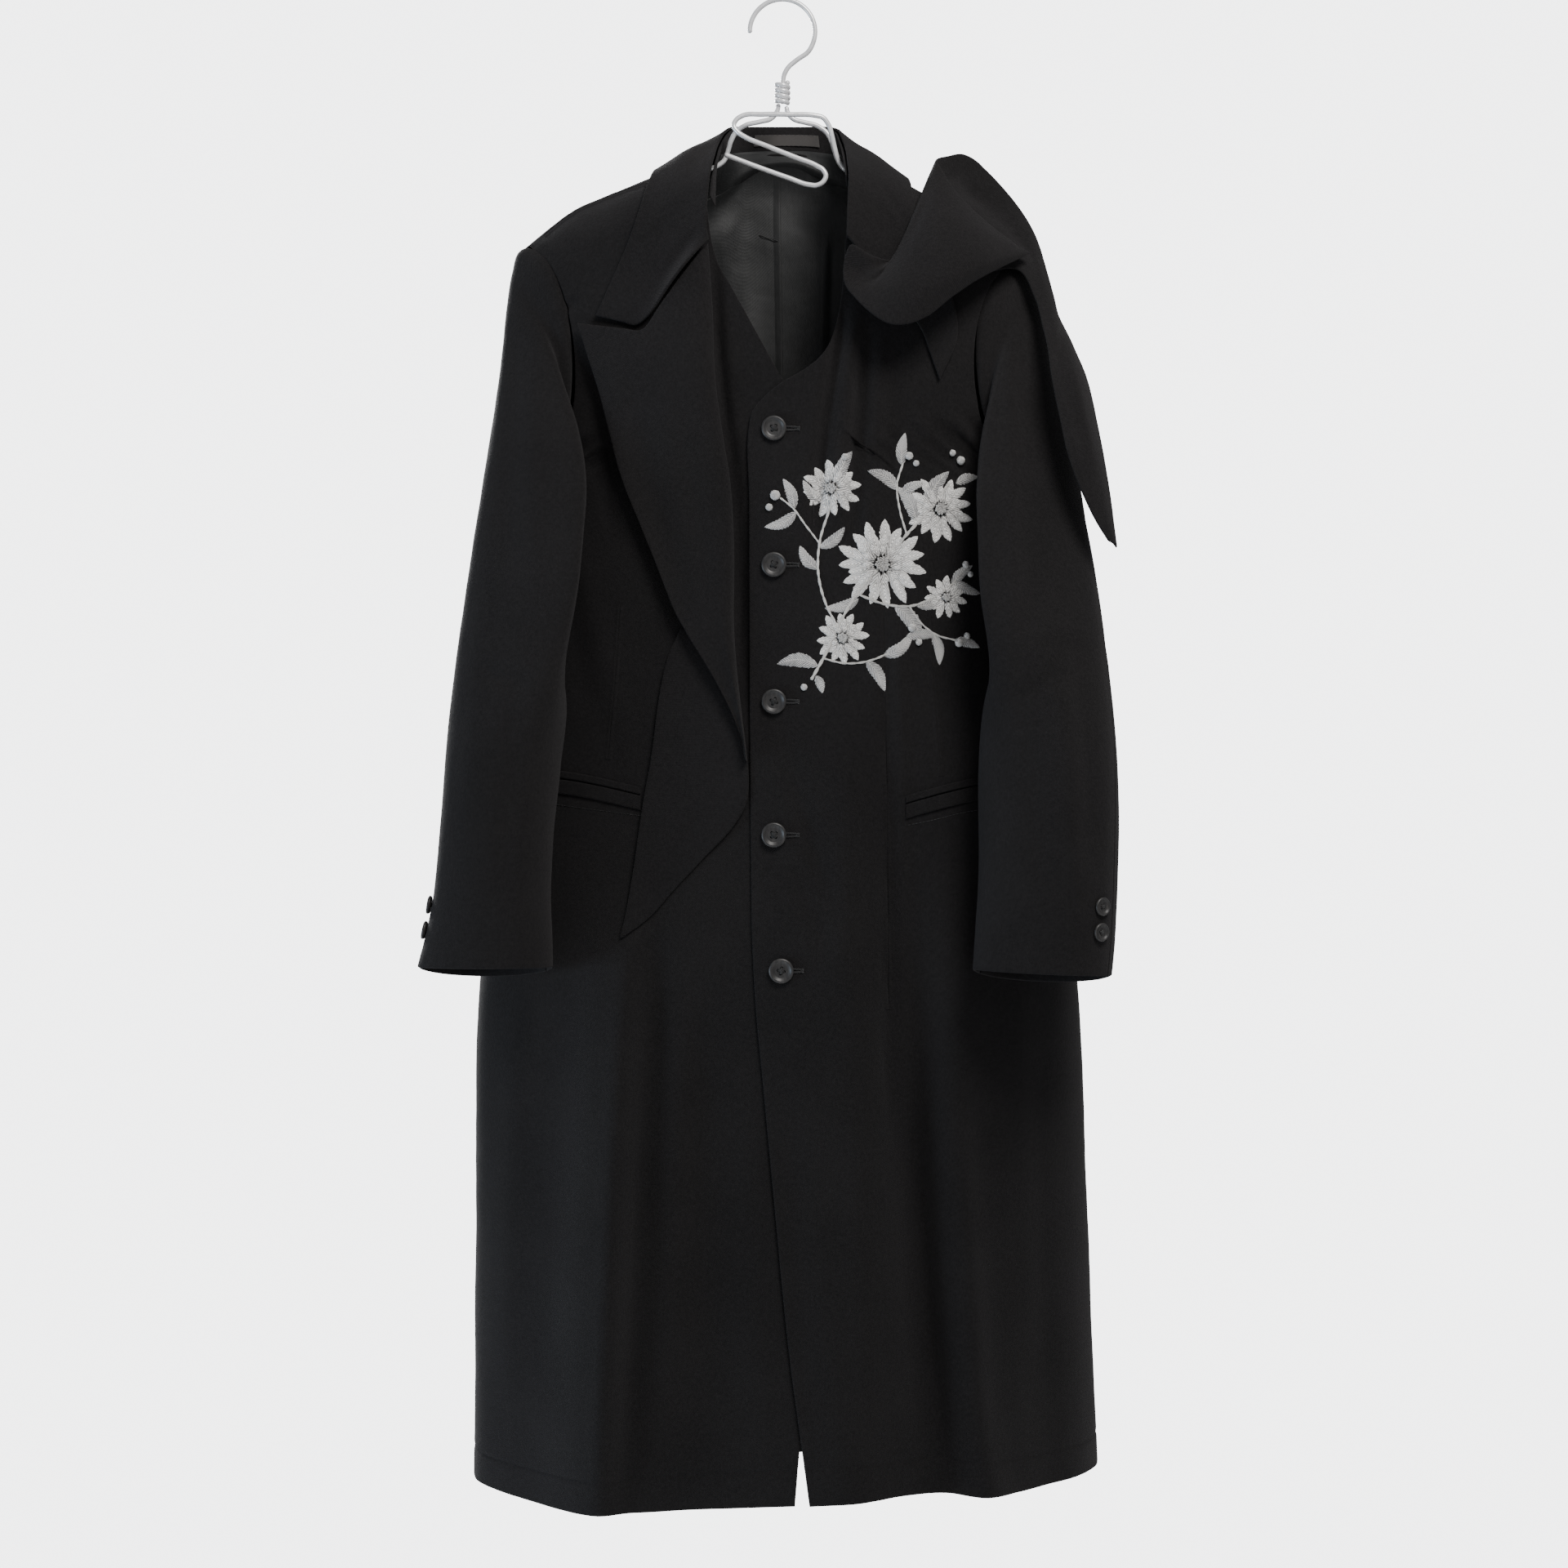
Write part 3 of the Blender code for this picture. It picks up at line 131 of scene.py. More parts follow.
# Folds and drag lines. Height stands out of the cloth, and a trough's is below zero.
FOLDS = {
    # (sheet or kind of sheet, side): height, half width, then across and height of each point
    ("front_right", "front"): rows_of("""
-9.0 6 -58 -200 -56 -250 -53 -314 -47 -370 -40 -420 -36 -480 -35 -560 -33 -620
"""),
    ("front_left", "front"): rows_of("""
-8.0 6 54 -250 51 -280 44 -320 36 -369 30 -440 28 -480
3.6 8 63 -262 56 -320 50 -385 46 -460
-5.2 7 71 -270 67 -330 63 -400 60 -470
3.6 8 82 -280 78 -350 73 -430 71 -520
"""),
    ("front", "front"): rows_of("""
-2.6 12 98 -330 90 -420 86 -520
2.0 14 120 -340 112 -430 108 -540
-3.4 8 4 -625 16 -690 32 -742 46 -790
-2.4 8 8 -735 22 -770 40 -812
2.6 13 50 -620 52 -720 46 -850
-3.6 4.5 85 -470 86 -560 88 -700 90 -900 94 -1010
3.0 7 95 -470 97 -600 99 -760 104 -960
-6.0 12 106 -900 114 -1060 124 -1190 131 -1275
6.0 11 128 -860 137 -1050 149 -1180 156 -1275
-4.5 14 160 -880 170 -1040 184 -1200 190 -1275
2.4 13 196 -800 204 -960 214 -1180
6.0 8 -124 -740 -131 -860 -140 -1030 -147 -1180 -152 -1290
7.0 26 -136 -740 -144 -860 -152 -1030 -160 -1180 -164 -1320
-9.0 12 -104 -740 -107 -860 -117 -1030 -126 -1200 -131 -1300
3.0 12 -84 -820 -90 -980 -98 -1200
-3.2 15 -60 -840 -64 -980 -58 -1200
2.4 13 -24 -900 -26 -1050 -16 -1250
-2.6 13 8 -920 12 -1060 26 -1240
2.4 14 58 -900 64 -1060 76 -1240
-3.2 16 -182 -840 -192 -980 -198 -1180
3.0 14 -222 -830 -230 -980 -237 -1200
-2.4 3.5 -172 -262 -185 -270 -192 -272
-2.4 9 -160 -300 -150 -380 -142 -470
2.0 11 -96 -300 -92 -400 -72 -500 -54 -590
-2.0 11 -128 -310 -112 -420 -90 -500
1.8 10 -176 -430 -160 -520 -140 -600 -128 -660
-2.0 10 -196 -460 -178 -540 -160 -620
"""),
    ("back", "back"): rows_of("""
-6.0 15 -69 -480 -72 -560 -78 -800 -86 -1270
4.6 14 -36 -360 -42 -560 -48 -860 -52 -1270
5.0 15 42 -350 46 -600 50 -900 54 -1270
-5.5 14 77 -480 80 -560 86 -860 92 -1270
-2.2 12 -150 -250 -120 -300 -104 -380 -100 -480
2.0 12 -170 -290 -142 -350 -128 -440
-2.2 12 140 -262 116 -310 104 -390 100 -480
2.0 12 164 -300 140 -360 128 -450
4.5 14 148 -700 160 -900 170 -1180
-4.5 14 186 -740 200 -960 206 -1200
-4.5 15 -180 -720 -196 -940 -204 -1200
"""),
    ("sleeve", "front"): rows_of("""
2.2 6 190 -262 191 -330 190 -420 188 -520 184 -600
-2.0 9 204 -290 207 -380 208 -470 204 -560
-1.8 10 200 -600 206 -680 212 -760
1.8 10 224 -560 232 -660 240 -780
-1.6 9 238 -520 250 -640 254 -740
-2.4 8 188 -610 212 -590 238 -578
1.6 8 186 -560 212 -548 244 -540
1.8 9 -204 -260 -206 -340 -206 -430 -204 -520
-1.8 9 -222 -270 -228 -380 -226 -500
1.6 10 -244 -420 -250 -560 -258 -700
-1.6 10 -216 -560 -222 -660 -230 -780
-2.0 8 -204 -600 -226 -584 -252 -576
"""),
    ("sleeve", "back"): rows_of("""
-3.0 8 -196 -560 -226 -590 -262 -604
2.4 8 -194 -600 -224 -622 -262 -632
-2.2 9 -216 -300 -220 -400 -222 -500
-3.0 8 184 -560 214 -590 252 -604
2.4 8 182 -600 212 -620 252 -630
-2.2 9 204 -310 208 -400 210 -500
"""),
    ("scarf", "front"): rows_of("""
1.8 5 74 -270 96 -262 122 -258 150 -244 186 -228
-1.6 6 70 -250 100 -238 126 -232 156 -222
-1.4 5 118 -150 112 -180 104 -214
-1.6 6 226 -290 236 -340 250 -400
1.4 5 236 -290 246 -350 260 -420
"""),
    ("collar", "front"): rows_of("""
-0.8 9 -92 -190 -104 -230 -112 -262
-0.6 8 84 -150 90 -190 84 -230
"""),
    ("lining", "front"): rows_of("""
-1.6 7 -58 -180 -56 -300 -60 -430
1.4 9 -30 -220 -34 -320 -32 -450
-2.6 3.5 46 -180 44 -220 42 -270 42 -310
1.8 4 38 -170 37 -230 36 -300
-1.4 8 24 -240 24 -320 22 -450
"""),
}
FOLD_STEP, FADE_IN, FADE_OUT, FACES = 12.0, (-0.02, 0.28), (-0.06, 0.22), (0.0, 0.4)
# Soft unevenness of the cloth: height, and how far apart its swells are. Some kinds of sheet have less of it.
SWELLS = ((0.75, 85.0), (0.28, 26.0), (0.09, 8.0))
SWELL_SHARE = {"label": 0.0, "band": 0.2, "collar": 0.35, "scarf": 0.7}

# Seams that lie on a sheet, as a pressed groove between its two allowances.
SEAM_PROFILE = (
    # across the seam, height over the cloth
    (-4.5, -0.5), (-3.0, 0.12), (-1.7, 0.46), (-0.8, 0.66), (-0.3, 0.38), (0.0, 0.0),
    (0.3, 0.3), (0.8, 0.52), (1.7, 0.38), (3.0, 0.1), (4.5, -0.5),
)
PLEAT_PROFILE = ((-0.9, -0.5), (-0.5, 0.15), (0.0, 0.42), (1.5, 0.40), (5.0, 0.15), (9.0, -0.5))
PROFILES = {"seam": (SEAM_PROFILE, "wool"), "pleat": (PLEAT_PROFILE, "lining")}
SEAMS = (
    # name, sheets it may lie on, side, profile, then across and height of each point
    ("dart_left", ("front_left",), "front", "seam", 122, -470, 124, -520, 128, -600, 133, -664),
    ("dart_right", ("front_right",), "front", "seam", -136, -520, -140, -580, -146, -650),
    ("panel_left", ("front_left",), "front", "seam", 84, -480, 85, -560, 87, -650, 88, -740, 89, -860),
    ("shoulder_right", ("back", "front_right"), "front", "seam",
     -203, -203, -182, -186, -150, -171, -118, -161),
    ("shoulder_left", ("back", "front_left"), "front", "seam", 188, -221, 168, -206, 146, -192),
    ("back_middle", ("back",), "back", "seam", 0, -160, 0, -240, 1, -400, 0, -600, -1, -840, -2, -1262),
    ("lining_pleat", ("lining_back",), "front", "pleat", -2, -142, -2, -190, -1, -240, 0, -330, 0, -470),
)
SEAM_STEP = 3.0

# Sewing
LEFT_FRONT = ("front_left",)
TUBE_END = 0.55
POCKET_STITCH = (
    # sheets, then across and height of each point
    (("front_right",), ((-118, -697), (-150, -693), (-190, -688), (-206, -686))),
    (LEFT_FRONT, ((105, -705), (125, -701), (150, -695), (205, -687))),
)
STITCH, STITCH_GAP, STITCH_LIFT, STITCH_RADIUS = 2.2, 1.0, 0.15, 0.21
STITCH_RISE = (-0.5, 0.8, 1.0, 0.8, -0.5)
TACK = ((-20.8, -191.5), (-2.9, -197.2))
TACK_PATH = (
    # share of the way, height over the lining
    (0.0, -0.4), (0.08, 0.8), (0.5, 1.1), (0.92, 0.8), (1.0, -0.4),
)
TACK_RADIUS, LABEL_STITCH_RADIUS, LABEL_STITCH_DIP = 0.4, 0.18, ((0, 0.3, 0), (0, -0.25, 0))

# Buttonholes
HOLES = (
    # across at the eye, across at the end, height
    (-6, 13.5, -374), (-6, 13.0, -488), (-6, 13.0, -602), (-6, 13.0, -713), (-3, 16.5, -826),
)
HOLE_HALF, HOLE_SHOULDER, EYE_RADIUS = 1.2, 4, 2.0
PURL, PURL_PITCH, PURL_LIFT, BAR_LIFT = 0.75, 0.9, 0.32, 0.35
SLIT_LIFT, SLIT_DEPTH = 0.10, -0.12

# Buttons: a turned profile, and four holes for the thread.
BUTTON_PROFILE = (
    # share of the radius, share of the height
    (0.0, 0.52), (0.36, 0.53), (0.56, 0.56), (0.66, 0.66), (0.74, 0.86), (0.81, 0.98), (0.88, 1.0),
    (0.95, 0.92), (1.0, 0.7), (0.99, 0.5), (0.93, 0.2), (0.84, 0.04), (0.78, 0.0), (0.0, 0.0),
)
BUTTON_HEIGHT, BUTTON_SIDES, BUTTON_RADIUS = 3.4, 64, 10.5
BUTTON_HOLE, BUTTON_HOLE_OUT, BUTTON_FACE = 1.25, 2.55, 0.56
BUTTONS = {
    # node: diameter, which way it faces, how far it is turned in degrees
    **{f"button_front_{k}": (21.0, FRONT, turn) for k, turn in enumerate((8, -14, 20, -6, 33), 1)},
    "button_cuff_right_1": (15.5, (-1, -0.3, 0), 12),
    "button_cuff_right_2": (15.5, (-1, -0.3, 0), -20),
    "button_cuff_left_1": (15.5, (0.6, -1, 0), 5),
    "button_cuff_left_2": (15.5, (0.6, -1, 0), 40),
}
BUTTON_THREAD, THREAD_APART, SHANK_RADIUS = 0.42, (-0.45, 0.0, 0.45), 2.1
THREAD_PATH = (
    # share of the way from hole to hole, height over the button's face
    (-1.0, -2.4), (-0.98, -0.6), (-0.7, 0.35), (0.0, 0.65), (0.7, 0.35), (0.98, -0.6), (1.0, -2.4),
)

# Wires: the end that their first ring is at.
WIRES = {
    "hanger_hook": (-28.0, 0.0, -26.9),
    "hanger_twist": (4.9, 0.0, -69.0),
    "hanger_arm_right": (-3.2, 0.0, -87.9),
    "hanger_arm_left": (3.2, 0.0, -89.9),
    "hanger_clip": (70.0, -4.8, -146.0),
}
WIRE, RING = 4.2, 8

# The embroidery: a generic spray of blossoms and leaves in pale thread.
# Stems: thickness, then across and height of each point
STEMS = rows_of("""
1.5 24 -584 34 -566 46 -540 62 -512 84 -486 104 -462 124 -440 140 -418
1.2 46 -540 36 -520 30 -496 31 -470 38 -446 46 -424
1.2 62 -512 84 -520 106 -522 128 -514 146 -500
1.0 34 -566 52 -570 72 -568 90 -560 104 -548
1.0 104 -462 98 -440 96 -420 101 -402
0.9 31 -470 20 -456 8 -440 -2 -432
0.9 106 -522 116 -536 130 -546 146 -550
""")
STEM_TWIST, STEM_LIFT = 2.6, 0.35
BLOSSOMS = (
    # across, height, radius, petals, turn in degrees
    (83, -487, 37, 15, 14), (132, -440, 28, 13, 40), (41, -424, 24, 12, 8),
    (50, -549, 22, 12, 66), (137, -514, 18, 11, 20),
)
# Leaves: across, height, angle in degrees, length, width, bend
LEAVES = rows_of("""
122 -442 62 34 12 0.2
112 -452 118 30 11 -0.18
100 -404 84 24 9 0.1
97 -424 150 26 10 -0.2
98 -430 28 22 8 0.16
30 -492 128 22 9 0.18
31 -474 40 24 9 -0.16
12 -444 205 26 9 0.2
10 -442 110 24 9 -0.14
46 -420 66 26 10 0.12
34 -436 132 22 8 0.16
64 -516 196 26 9 0.16
94 -522 -52 32 12 0.18
112 -522 20 24 9 -0.16
142 -504 44 22 8 0.12
144 -500 -24 22 8 -0.1
126 -544 -78 24 9 0.14
144 -550 -14 20 8 0.1
30 -572 178 30 11 -0.2
70 -568 -58 26 10 0.16
84 -564 34 26 10 -0.16
103 -548 2 24 9 0.14
28 -580 -70 14 7 0.1
146 -418 20 18 8 0.14
""")
# Buds: across, height, radius
BUDS = rows_of("""
-6 -430 4.2
-11 -440 3.0
148 -552 3.6
155 -546 2.8
150 -398 3.6
143 -392 2.8
106 -396 3.4
112 -402 2.6
108 -540 3.4
114 -552 2.8
18 -590 2.8
52 -398 3.0
154 -486 3.0
158 -494 2.6
""")
PETAL_RINGS = (
    # share of the radius, turn by this share of a petal, height, petals fewer, tone at the base and the tip
    (1.0, 0.0, 0.75, 0, (-0.25, 1.0)),
    (0.74, 0.5, 1.35, 2, (-0.35, 1.05)),
    (0.48, 0.2, 1.9, 4, (-0.35, 1.1)),
)
PETAL_FULLNESS, PETAL_START, LEAF_GROWTH = 0.93, 0.16, 1.15
PETAL_HEIGHT, LEAF_HEIGHT, VEIN_LIFT, VEIN_RADIUS = 0.9, 0.85, 0.65, 0.42
KNOT, KNOT_RINGS, KNOT_SIDES, GOLDEN_TURN = 1.05, 7, 12, 2.39996

# Where the camera stood, and the light
CAMERA = (1.4, -2800.0, -670.6)
LENS, SENSOR = 75.0, 36.0
FLOOR_HEIGHT, FLOOR_RADIUS = -1900.0, 2200.0
STUDIO_LIGHT = ((0.96, 0.97, 1.0), 0.40)
PALE_WALL = ((0.985, 0.99, 1.0), 4.6)
LIGHTS = (
    # name, place and aim in metres, size, power, colour
    ("key", (0.7, -1.45, 1.1), (0.05, 0, -0.55), 0.9, 49, (1.0, 0.972, 0.945)),
    ("fill", (-2.3, -0.85, -1.15), (-0.1, 0, -1.0), 0.9, 30, (0.68, 0.83, 1.0)),
    ("rear", (-1.35, 2.1, 0.3), (0, 0, -0.7), 0.8, 108, (1, 1, 1)),
)


# Materials


class Shader:
    """The node tree of a material or a world, built by short calls that each give a socket."""

    def __init__(self, name, owners=bpy.data.materials):
        self.owner = owners.new(name)
        self.owner.use_nodes = True
        self.nodes, self.links = self.owner.node_tree.nodes, self.owner.node_tree.links

    def feed(self, sockets, values):
        for key, value in values.items():
            if isinstance(value, bpy.types.NodeSocket):
                self.links.new(value, sockets[key])
            else:
                sockets[key].default_value = value

    def node(self, kind, output, inputs=(), **settings):
        made = self.nodes.new(f"ShaderNode{kind}")
        for key, value in settings.items():
            setattr(made, key, value)
        self.feed(made.inputs, dict(inputs))
        return made.outputs[output]

    def uv(self):
        return self.node("UVMap", "UV", uv_map="cloth")

    def place(self):
        return self.node("TexCoord", "Object")

    def moved(self, vector, scale=(1, 1, 1), turn=0.0):
        inputs = {"Vector": vector, "Scale": scale, "Rotation": (0, 0, radians(turn))}
        return self.node("Mapping", "Vector", inputs)

    def noise(self, vector, scale, detail=3.0, rough=0.6):
        inputs = {"Vector": vector, "Scale": scale, "Detail": detail, "Roughness": rough}
        return self.node("TexNoise", "Fac", inputs)

    def bands(self, vector, pitch, uneven, direction="X"):
        """Even ribs, a pitch apart in metres."""
        inputs = {"Vector": vector, "Scale": 2 * pi / 20 / pitch, "Distortion": uneven,
                  "Detail": 2.0, "Detail Scale": 1.5}
        return self.node("TexWave", "Fac", inputs, bands_direction=direction)

    def ramp(self, value, *stops):
        colour = self.node("ValToRGB", "Color", {"Fac": value})
        elements = colour.node.color_ramp.elements
        while len(elements) < len(stops):
            elements.new(0.5)
        for element, (at, shade) in zip(elements, stops):
            element.position = at
            element.color = (*shade, 1.0)
        return colour

    def mix(self, share, first, second):
        return self.node("Mix", 2, {0: share, 6: (*first, 1.0), 7: (*second, 1.0)}, data_type="RGBA")

    def sum(self, first, second, kind="ADD"):
        return self.node("Math", 0, {0: first, 1: second}, operation=kind)

    def weigh(self, *terms):
        """The sum of values, each times its weight."""
        total = None
        for value, weight in terms:
            value = value if weight == 1 else self.sum(value, weight, "MULTIPLY")
            total = value if total is None else self.sum(total, value)
        return total

    def bump(self, height, strength, distance, under=None):
        inputs = {"Height": height, "Strength": strength, "Distance": distance}
        return self.node("Bump", "Normal", inputs if under is None else {**inputs, "Normal": under})

    def range(self, value, low, high):
        return self.node("MapRange", "Result", {"Value": value, "To Min": low, "To Max": high})

    def done(self, colour, rough, normal, **values):
        values = {key.replace("_", " "): value for key, value in values.items()}
        values |= {"Base Color": colour, "Roughness": rough, "Normal": normal}
        self.feed(self.nodes["Principled BSDF"].inputs, values)
        return self.owner


def wool():
    """Milled wool: a fine twill under short fuzz, a little uneven in colour."""
    s = Shader("wool")
    flat, place = s.uv(), s.place()
    twill = s.bands(s.moved(flat, turn=58), 0.0011, 1.2)
    yarn = s.bands(flat, 0.00062, 1.5)
    fuzz = s.noise(s.moved(flat, (1, 0.45, 1)), 1500, rough=0.7)
    mottle = s.noise(place, 330, 4.0, 0.7)
    cloud = s.noise(place, 11, rough=0.5)
    fleck = s.noise(s.moved(place, (1, 1, 0.6)), 820, 2.0)
    shade = s.sum(s.weigh((mottle, 0.50), (cloud, 0.25)), s.weigh((fuzz, 0.20), (fleck, 0.36)))
    colour = s.ramp(shade, (0.44, (0.0040, 0.0037, 0.0039)), (0.86, (0.0150, 0.0140, 0.0143)))
    under = s.bump(s.sum(mottle, fleck), 0.6, 0.0006)
    normal = s.bump(s.weigh((twill, 1), (yarn, 0.4), (fuzz, 1.3)), 0.6, 0.00025, under)
    return s.done(colour, s.range(mottle, 0.86, 1.0), normal, Sheen_Weight=0.08, Sheen_Roughness=0.55,
                  Sheen_Tint=(0.50, 0.48, 0.49, 1.0), Specular_IOR_Level=0.14)


def lining_cloth():
    """Smooth lining: a fine rib with slubs along it."""
    s = Shader("lining")
    flat = s.uv()
    rib = s.bands(s.moved(flat, turn=65), 0.0008, 0.6)
    slub = s.noise(s.moved(flat, (1, 0.04, 1)), 900)
    cloud = s.noise(s.place(), 26, rough=0.5)
    colour = s.ramp(s.weigh((slub, 0.5), (cloud, 0.5)),
                    (0.36, (0.014, 0.0147, 0.015)), (0.66, (0.024, 0.0248, 0.0252)))
    normal = s.bump(s.sum(rib, slub), 0.45, 0.00016, s.bump(cloud, 0.3, 0.004))
    return s.done(colour, s.range(slub, 0.38, 0.58), normal, Sheen_Weight=0.12, Sheen_Roughness=0.4,
                  Specular_IOR_Level=0.35)


def horn():
    """Dark horn: faint brown streaks and rubbed patches."""
    s = Shader("horn")
    place = s.place()
    streak = s.noise(s.moved(place, (1, 1, 0.22), 24), 520, 4.0)
    rub = s.noise(place, 1400)
    colour = s.ramp(streak, (0.35, (0.016, 0.0155, 0.0155)), (0.6, (0.030, 0.0285, 0.028)),
                    (0.78, (0.055, 0.049, 0.044)))
    normal = s.bump(rub, 0.25, 0.00012, s.bump(streak, 0.2, 0.0002))
    return s.done(colour, s.range(rub, 0.34, 0.52), normal, Specular_IOR_Level=0.42, Coat_Weight=0.04,
                  Coat_Roughness=0.3)


def steel():
    """Drawn wire: satin, with lines along it and faint handling marks."""
    s = Shader("steel")
    drawn = s.noise(s.moved(s.uv(), (1, 0.02, 1)), 2600)
    mark = s.noise(s.place(), 160, 4.0, 0.65)
    colour = s.ramp(mark, (0.3, (0.76, 0.76, 0.77)), (0.7, (0.90, 0.90, 0.90)))
    return s.done(colour, s.range(mark, 0.22, 0.40), s.bump(drawn, 0.18, 0.0002), Metallic=0.35)


def thread(name, dark, light, pitch, sheen, rough):
    """Twisted thread, by its length and its turn."""
    s = Shader(name)
    ply = s.bands(s.moved(s.uv(), turn=32), pitch, 0.4)
    fray = s.noise(s.place(), 1900, 2.0)
    colour = s.mix(s.weigh((ply, 0.6), (fray, 0.5)), dark, light)
    normal = s.bump(s.weigh((ply, 1), (fray, 0.4)), 0.7, 0.00025)
    return s.done(colour, rough, normal, Sheen_Weight=sheen, Sheen_Roughness=0.4, Specular_IOR_Level=0.3)


def satin_stitch(name, low, middle, high):
    """Long stitches side by side: pale silk with grey between the threads, and mottled."""
    s = Shader(name)
    flat = s.uv()
    strand = s.bands(flat, 0.0013, 1.3)
    broken = s.noise(s.moved(flat, (1, 0.12, 1)), 1100, rough=0.7)
    patch = s.noise(s.place(), 210, 4.0, 0.72)
    tone = s.node("Attribute", "Fac", attribute_name="tone")
    shade = s.sum(s.weigh((strand, 0.36), (broken, 0.55)), s.weigh((patch, 0.30), (tone, 0.36)))
    colour = s.ramp(shade, (0.40, low), (0.62, middle), (0.92, high))
    normal = s.bump(s.weigh((strand, 1), (broken, 0.7)), 0.9, 0.0009)
    return s.done(colour, s.range(patch, 0.45, 0.7), normal, Sheen_Weight=0.6, Sheen_Roughness=0.45,
                  Specular_IOR_Level=0.5)


def woven_label():
    s = Shader("label")
    flat = s.uv()
    warp, weft = s.bands(flat, 0.0005, 0.4), s.bands(flat, 0.0007, 0.4, "Y")
    cloud = s.noise(s.place(), 120)
    colour = s.ramp(s.weigh((warp, 0.25), (weft, 0.3), (cloud, 0.5)),
                    (0.25, (0.018, 0.016, 0.015)), (0.75, (0.042, 0.037, 0.034)))
    normal = s.bump(s.sum(warp, weft), 0.6, 0.00018)
    return s.done(colour, s.range(cloud, 0.5, 0.7), normal, Sheen_Weight=0.2, Sheen_Roughness=0.4)


def floor_paint():
    s = Shader("pale_floor")
    place = s.place()
    grain = s.noise(place, 160)
    colour = s.ramp(s.noise(place, 3.0, 4.0, 0.5), (0.3, (0.80, 0.80, 0.80)), (0.7, (0.86, 0.86, 0.86)))
    return s.done(colour, s.range(grain, 0.6, 0.8), s.bump(grain, 0.1, 0.001))


MATERIALS = {
    "wool": wool(),
    "lining": lining_cloth(),
    "horn": horn(),
    "steel": steel(),
    "black_thread": thread("black_thread", (0.006, 0.006, 0.006), (0.022, 0.022, 0.023), 0.0007, 0.3, 0.6),
    "pale_thread": thread("pale_thread", (0.34, 0.33, 0.32), (0.80, 0.79, 0.75), 0.0009, 0.2, 0.5),
    "ivory": satin_stitch("ivory_stitch", (0.08, 0.08, 0.08), (0.56, 0.55, 0.53), (0.98, 0.97, 0.94)),
    "silver": satin_stitch("silver_stitch", (0.05, 0.05, 0.055), (0.25, 0.25, 0.255), (0.72, 0.71, 0.69)),
    "label": woven_label(),
    "floor": floor_paint(),
}


# Meshes


def add_object(name, data):
    thing = bpy.data.objects.new(name, data)
    bpy.context.scene.collection.objects.link(thing)
    return thing


def mesh_from(name, work):
    mesh = bpy.data.meshes.new(name)
    work.to_mesh(mesh)
    work.free()
    return mesh


def add_piece(name, mesh, finish, nodes=()):
    """A piece of the coat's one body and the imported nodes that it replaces."""
    mesh.name = name
    mesh.materials.append(MATERIALS[finish])
    thing = add_object(name, mesh)
    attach(thing, "root")
    if nodes:
        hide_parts(*nodes)
    return thing


def cloth_mesh(points, faces, uvs):
    """A mesh from points in millimetres, each with its place on the cloth."""
    mesh = bpy.data.meshes.new("cloth")
    mesh.from_pydata((np.asarray(points, float) * MM).tolist(), [], faces)
    corners = np.zeros(len(mesh.loops), int)
    mesh.loops.foreach_get("vertex_index", corners)
    mesh.uv_layers.new(name="cloth").data.foreach_set("uv", (np.asarray(uvs, float)[corners] * MM).ravel())
    mesh.shade_smooth()
    mesh.update()
    return mesh


class Parts:
    """Points, faces, places on the cloth and tones of many small shapes that make one piece."""

    def __init__(self):
        self.points, self.faces, self.uvs, self.tones = [], [], [], []

    def add(self, points, faces, uvs, tones=0.5):
        start = len(self.points)
        self.points += list(points)
        self.uvs += list(uvs)
        self.tones += np.broadcast_to(tones, len(points)).tolist()
        self.faces += [[start + k for k in face] for face in faces]

    def piece(self, name, finish, nodes=()):
        mesh = cloth_mesh(self.points, self.faces, self.uvs)
        mesh.attributes.new("tone", "FLOAT", "POINT").data.foreach_set("value", self.tones)
        return add_piece(name, mesh, finish, nodes)


def grid_faces(rows, columns, round_it=False):
    """The faces of a grid of points. One that goes round joins its last column to its first."""
    here = np.arange((rows - 1) * columns).reshape(rows - 1, columns)
    after = np.roll(here, -1, axis=1)
    if not round_it:
        here, after = here[:, :-1], after[:, :-1]
    return np.stack([here, after, after + columns, here + columns], axis=-1).reshape(-1, 4).tolist()


def unit(vectors):
    return vectors / norm(vectors, axis=-1, keepdims=True)


def lengths(points):
    """How far along a row of points each one is."""
    return np.concatenate([[0.0], np.cumsum(norm(np.diff(points, axis=0), axis=-1))])


def smooth_step(value, low, high):
    share = np.clip((np.asarray(value, float) - low) / (high - low), 0, 1)
    return share * share * (3 - 2 * share)


def smooth(points, knots, at):
    """Points read at places along their first axis, on smooth curves through them."""
    column = (-1, *[1] * (points.ndim - 1))
    slopes = np.gradient(points, knots, axis=0)
    if len(knots) > 2:
        speed = norm(np.diff(points, axis=0) / np.diff(knots).reshape(column), axis=-1, keepdims=True)
        most = SLOPE_LIMIT * np.minimum(speed[:-1], speed[1:])
        steep = norm(slopes[1:-1], axis=-1, keepdims=True)
        slopes[1:-1] *= np.minimum(1, most / np.maximum(steep, 1e-9))
    index = np.clip(np.searchsorted(knots, at, side="right") - 1, 0, len(knots) - 2)
    width = np.diff(knots)[index].reshape(column)
    share = (at - knots[index]).reshape(column) / width
    square, cube = share**2, share**3
    return (points[index] * (2 * cube - 3 * square + 1) + points[index + 1] * (3 * square - 2 * cube)
            + slopes[index] * width * (cube - 2 * square + share)
            + slopes[index + 1] * width * (cube - square))


def curve(points, step):
    """A smooth curve through a few points, as points about a step apart."""
    points = np.asarray(points, float)
    knots = lengths(points)
    return smooth(points, knots, np.linspace(0, knots[-1], max(int(knots[-1] / step), 2) + 1))


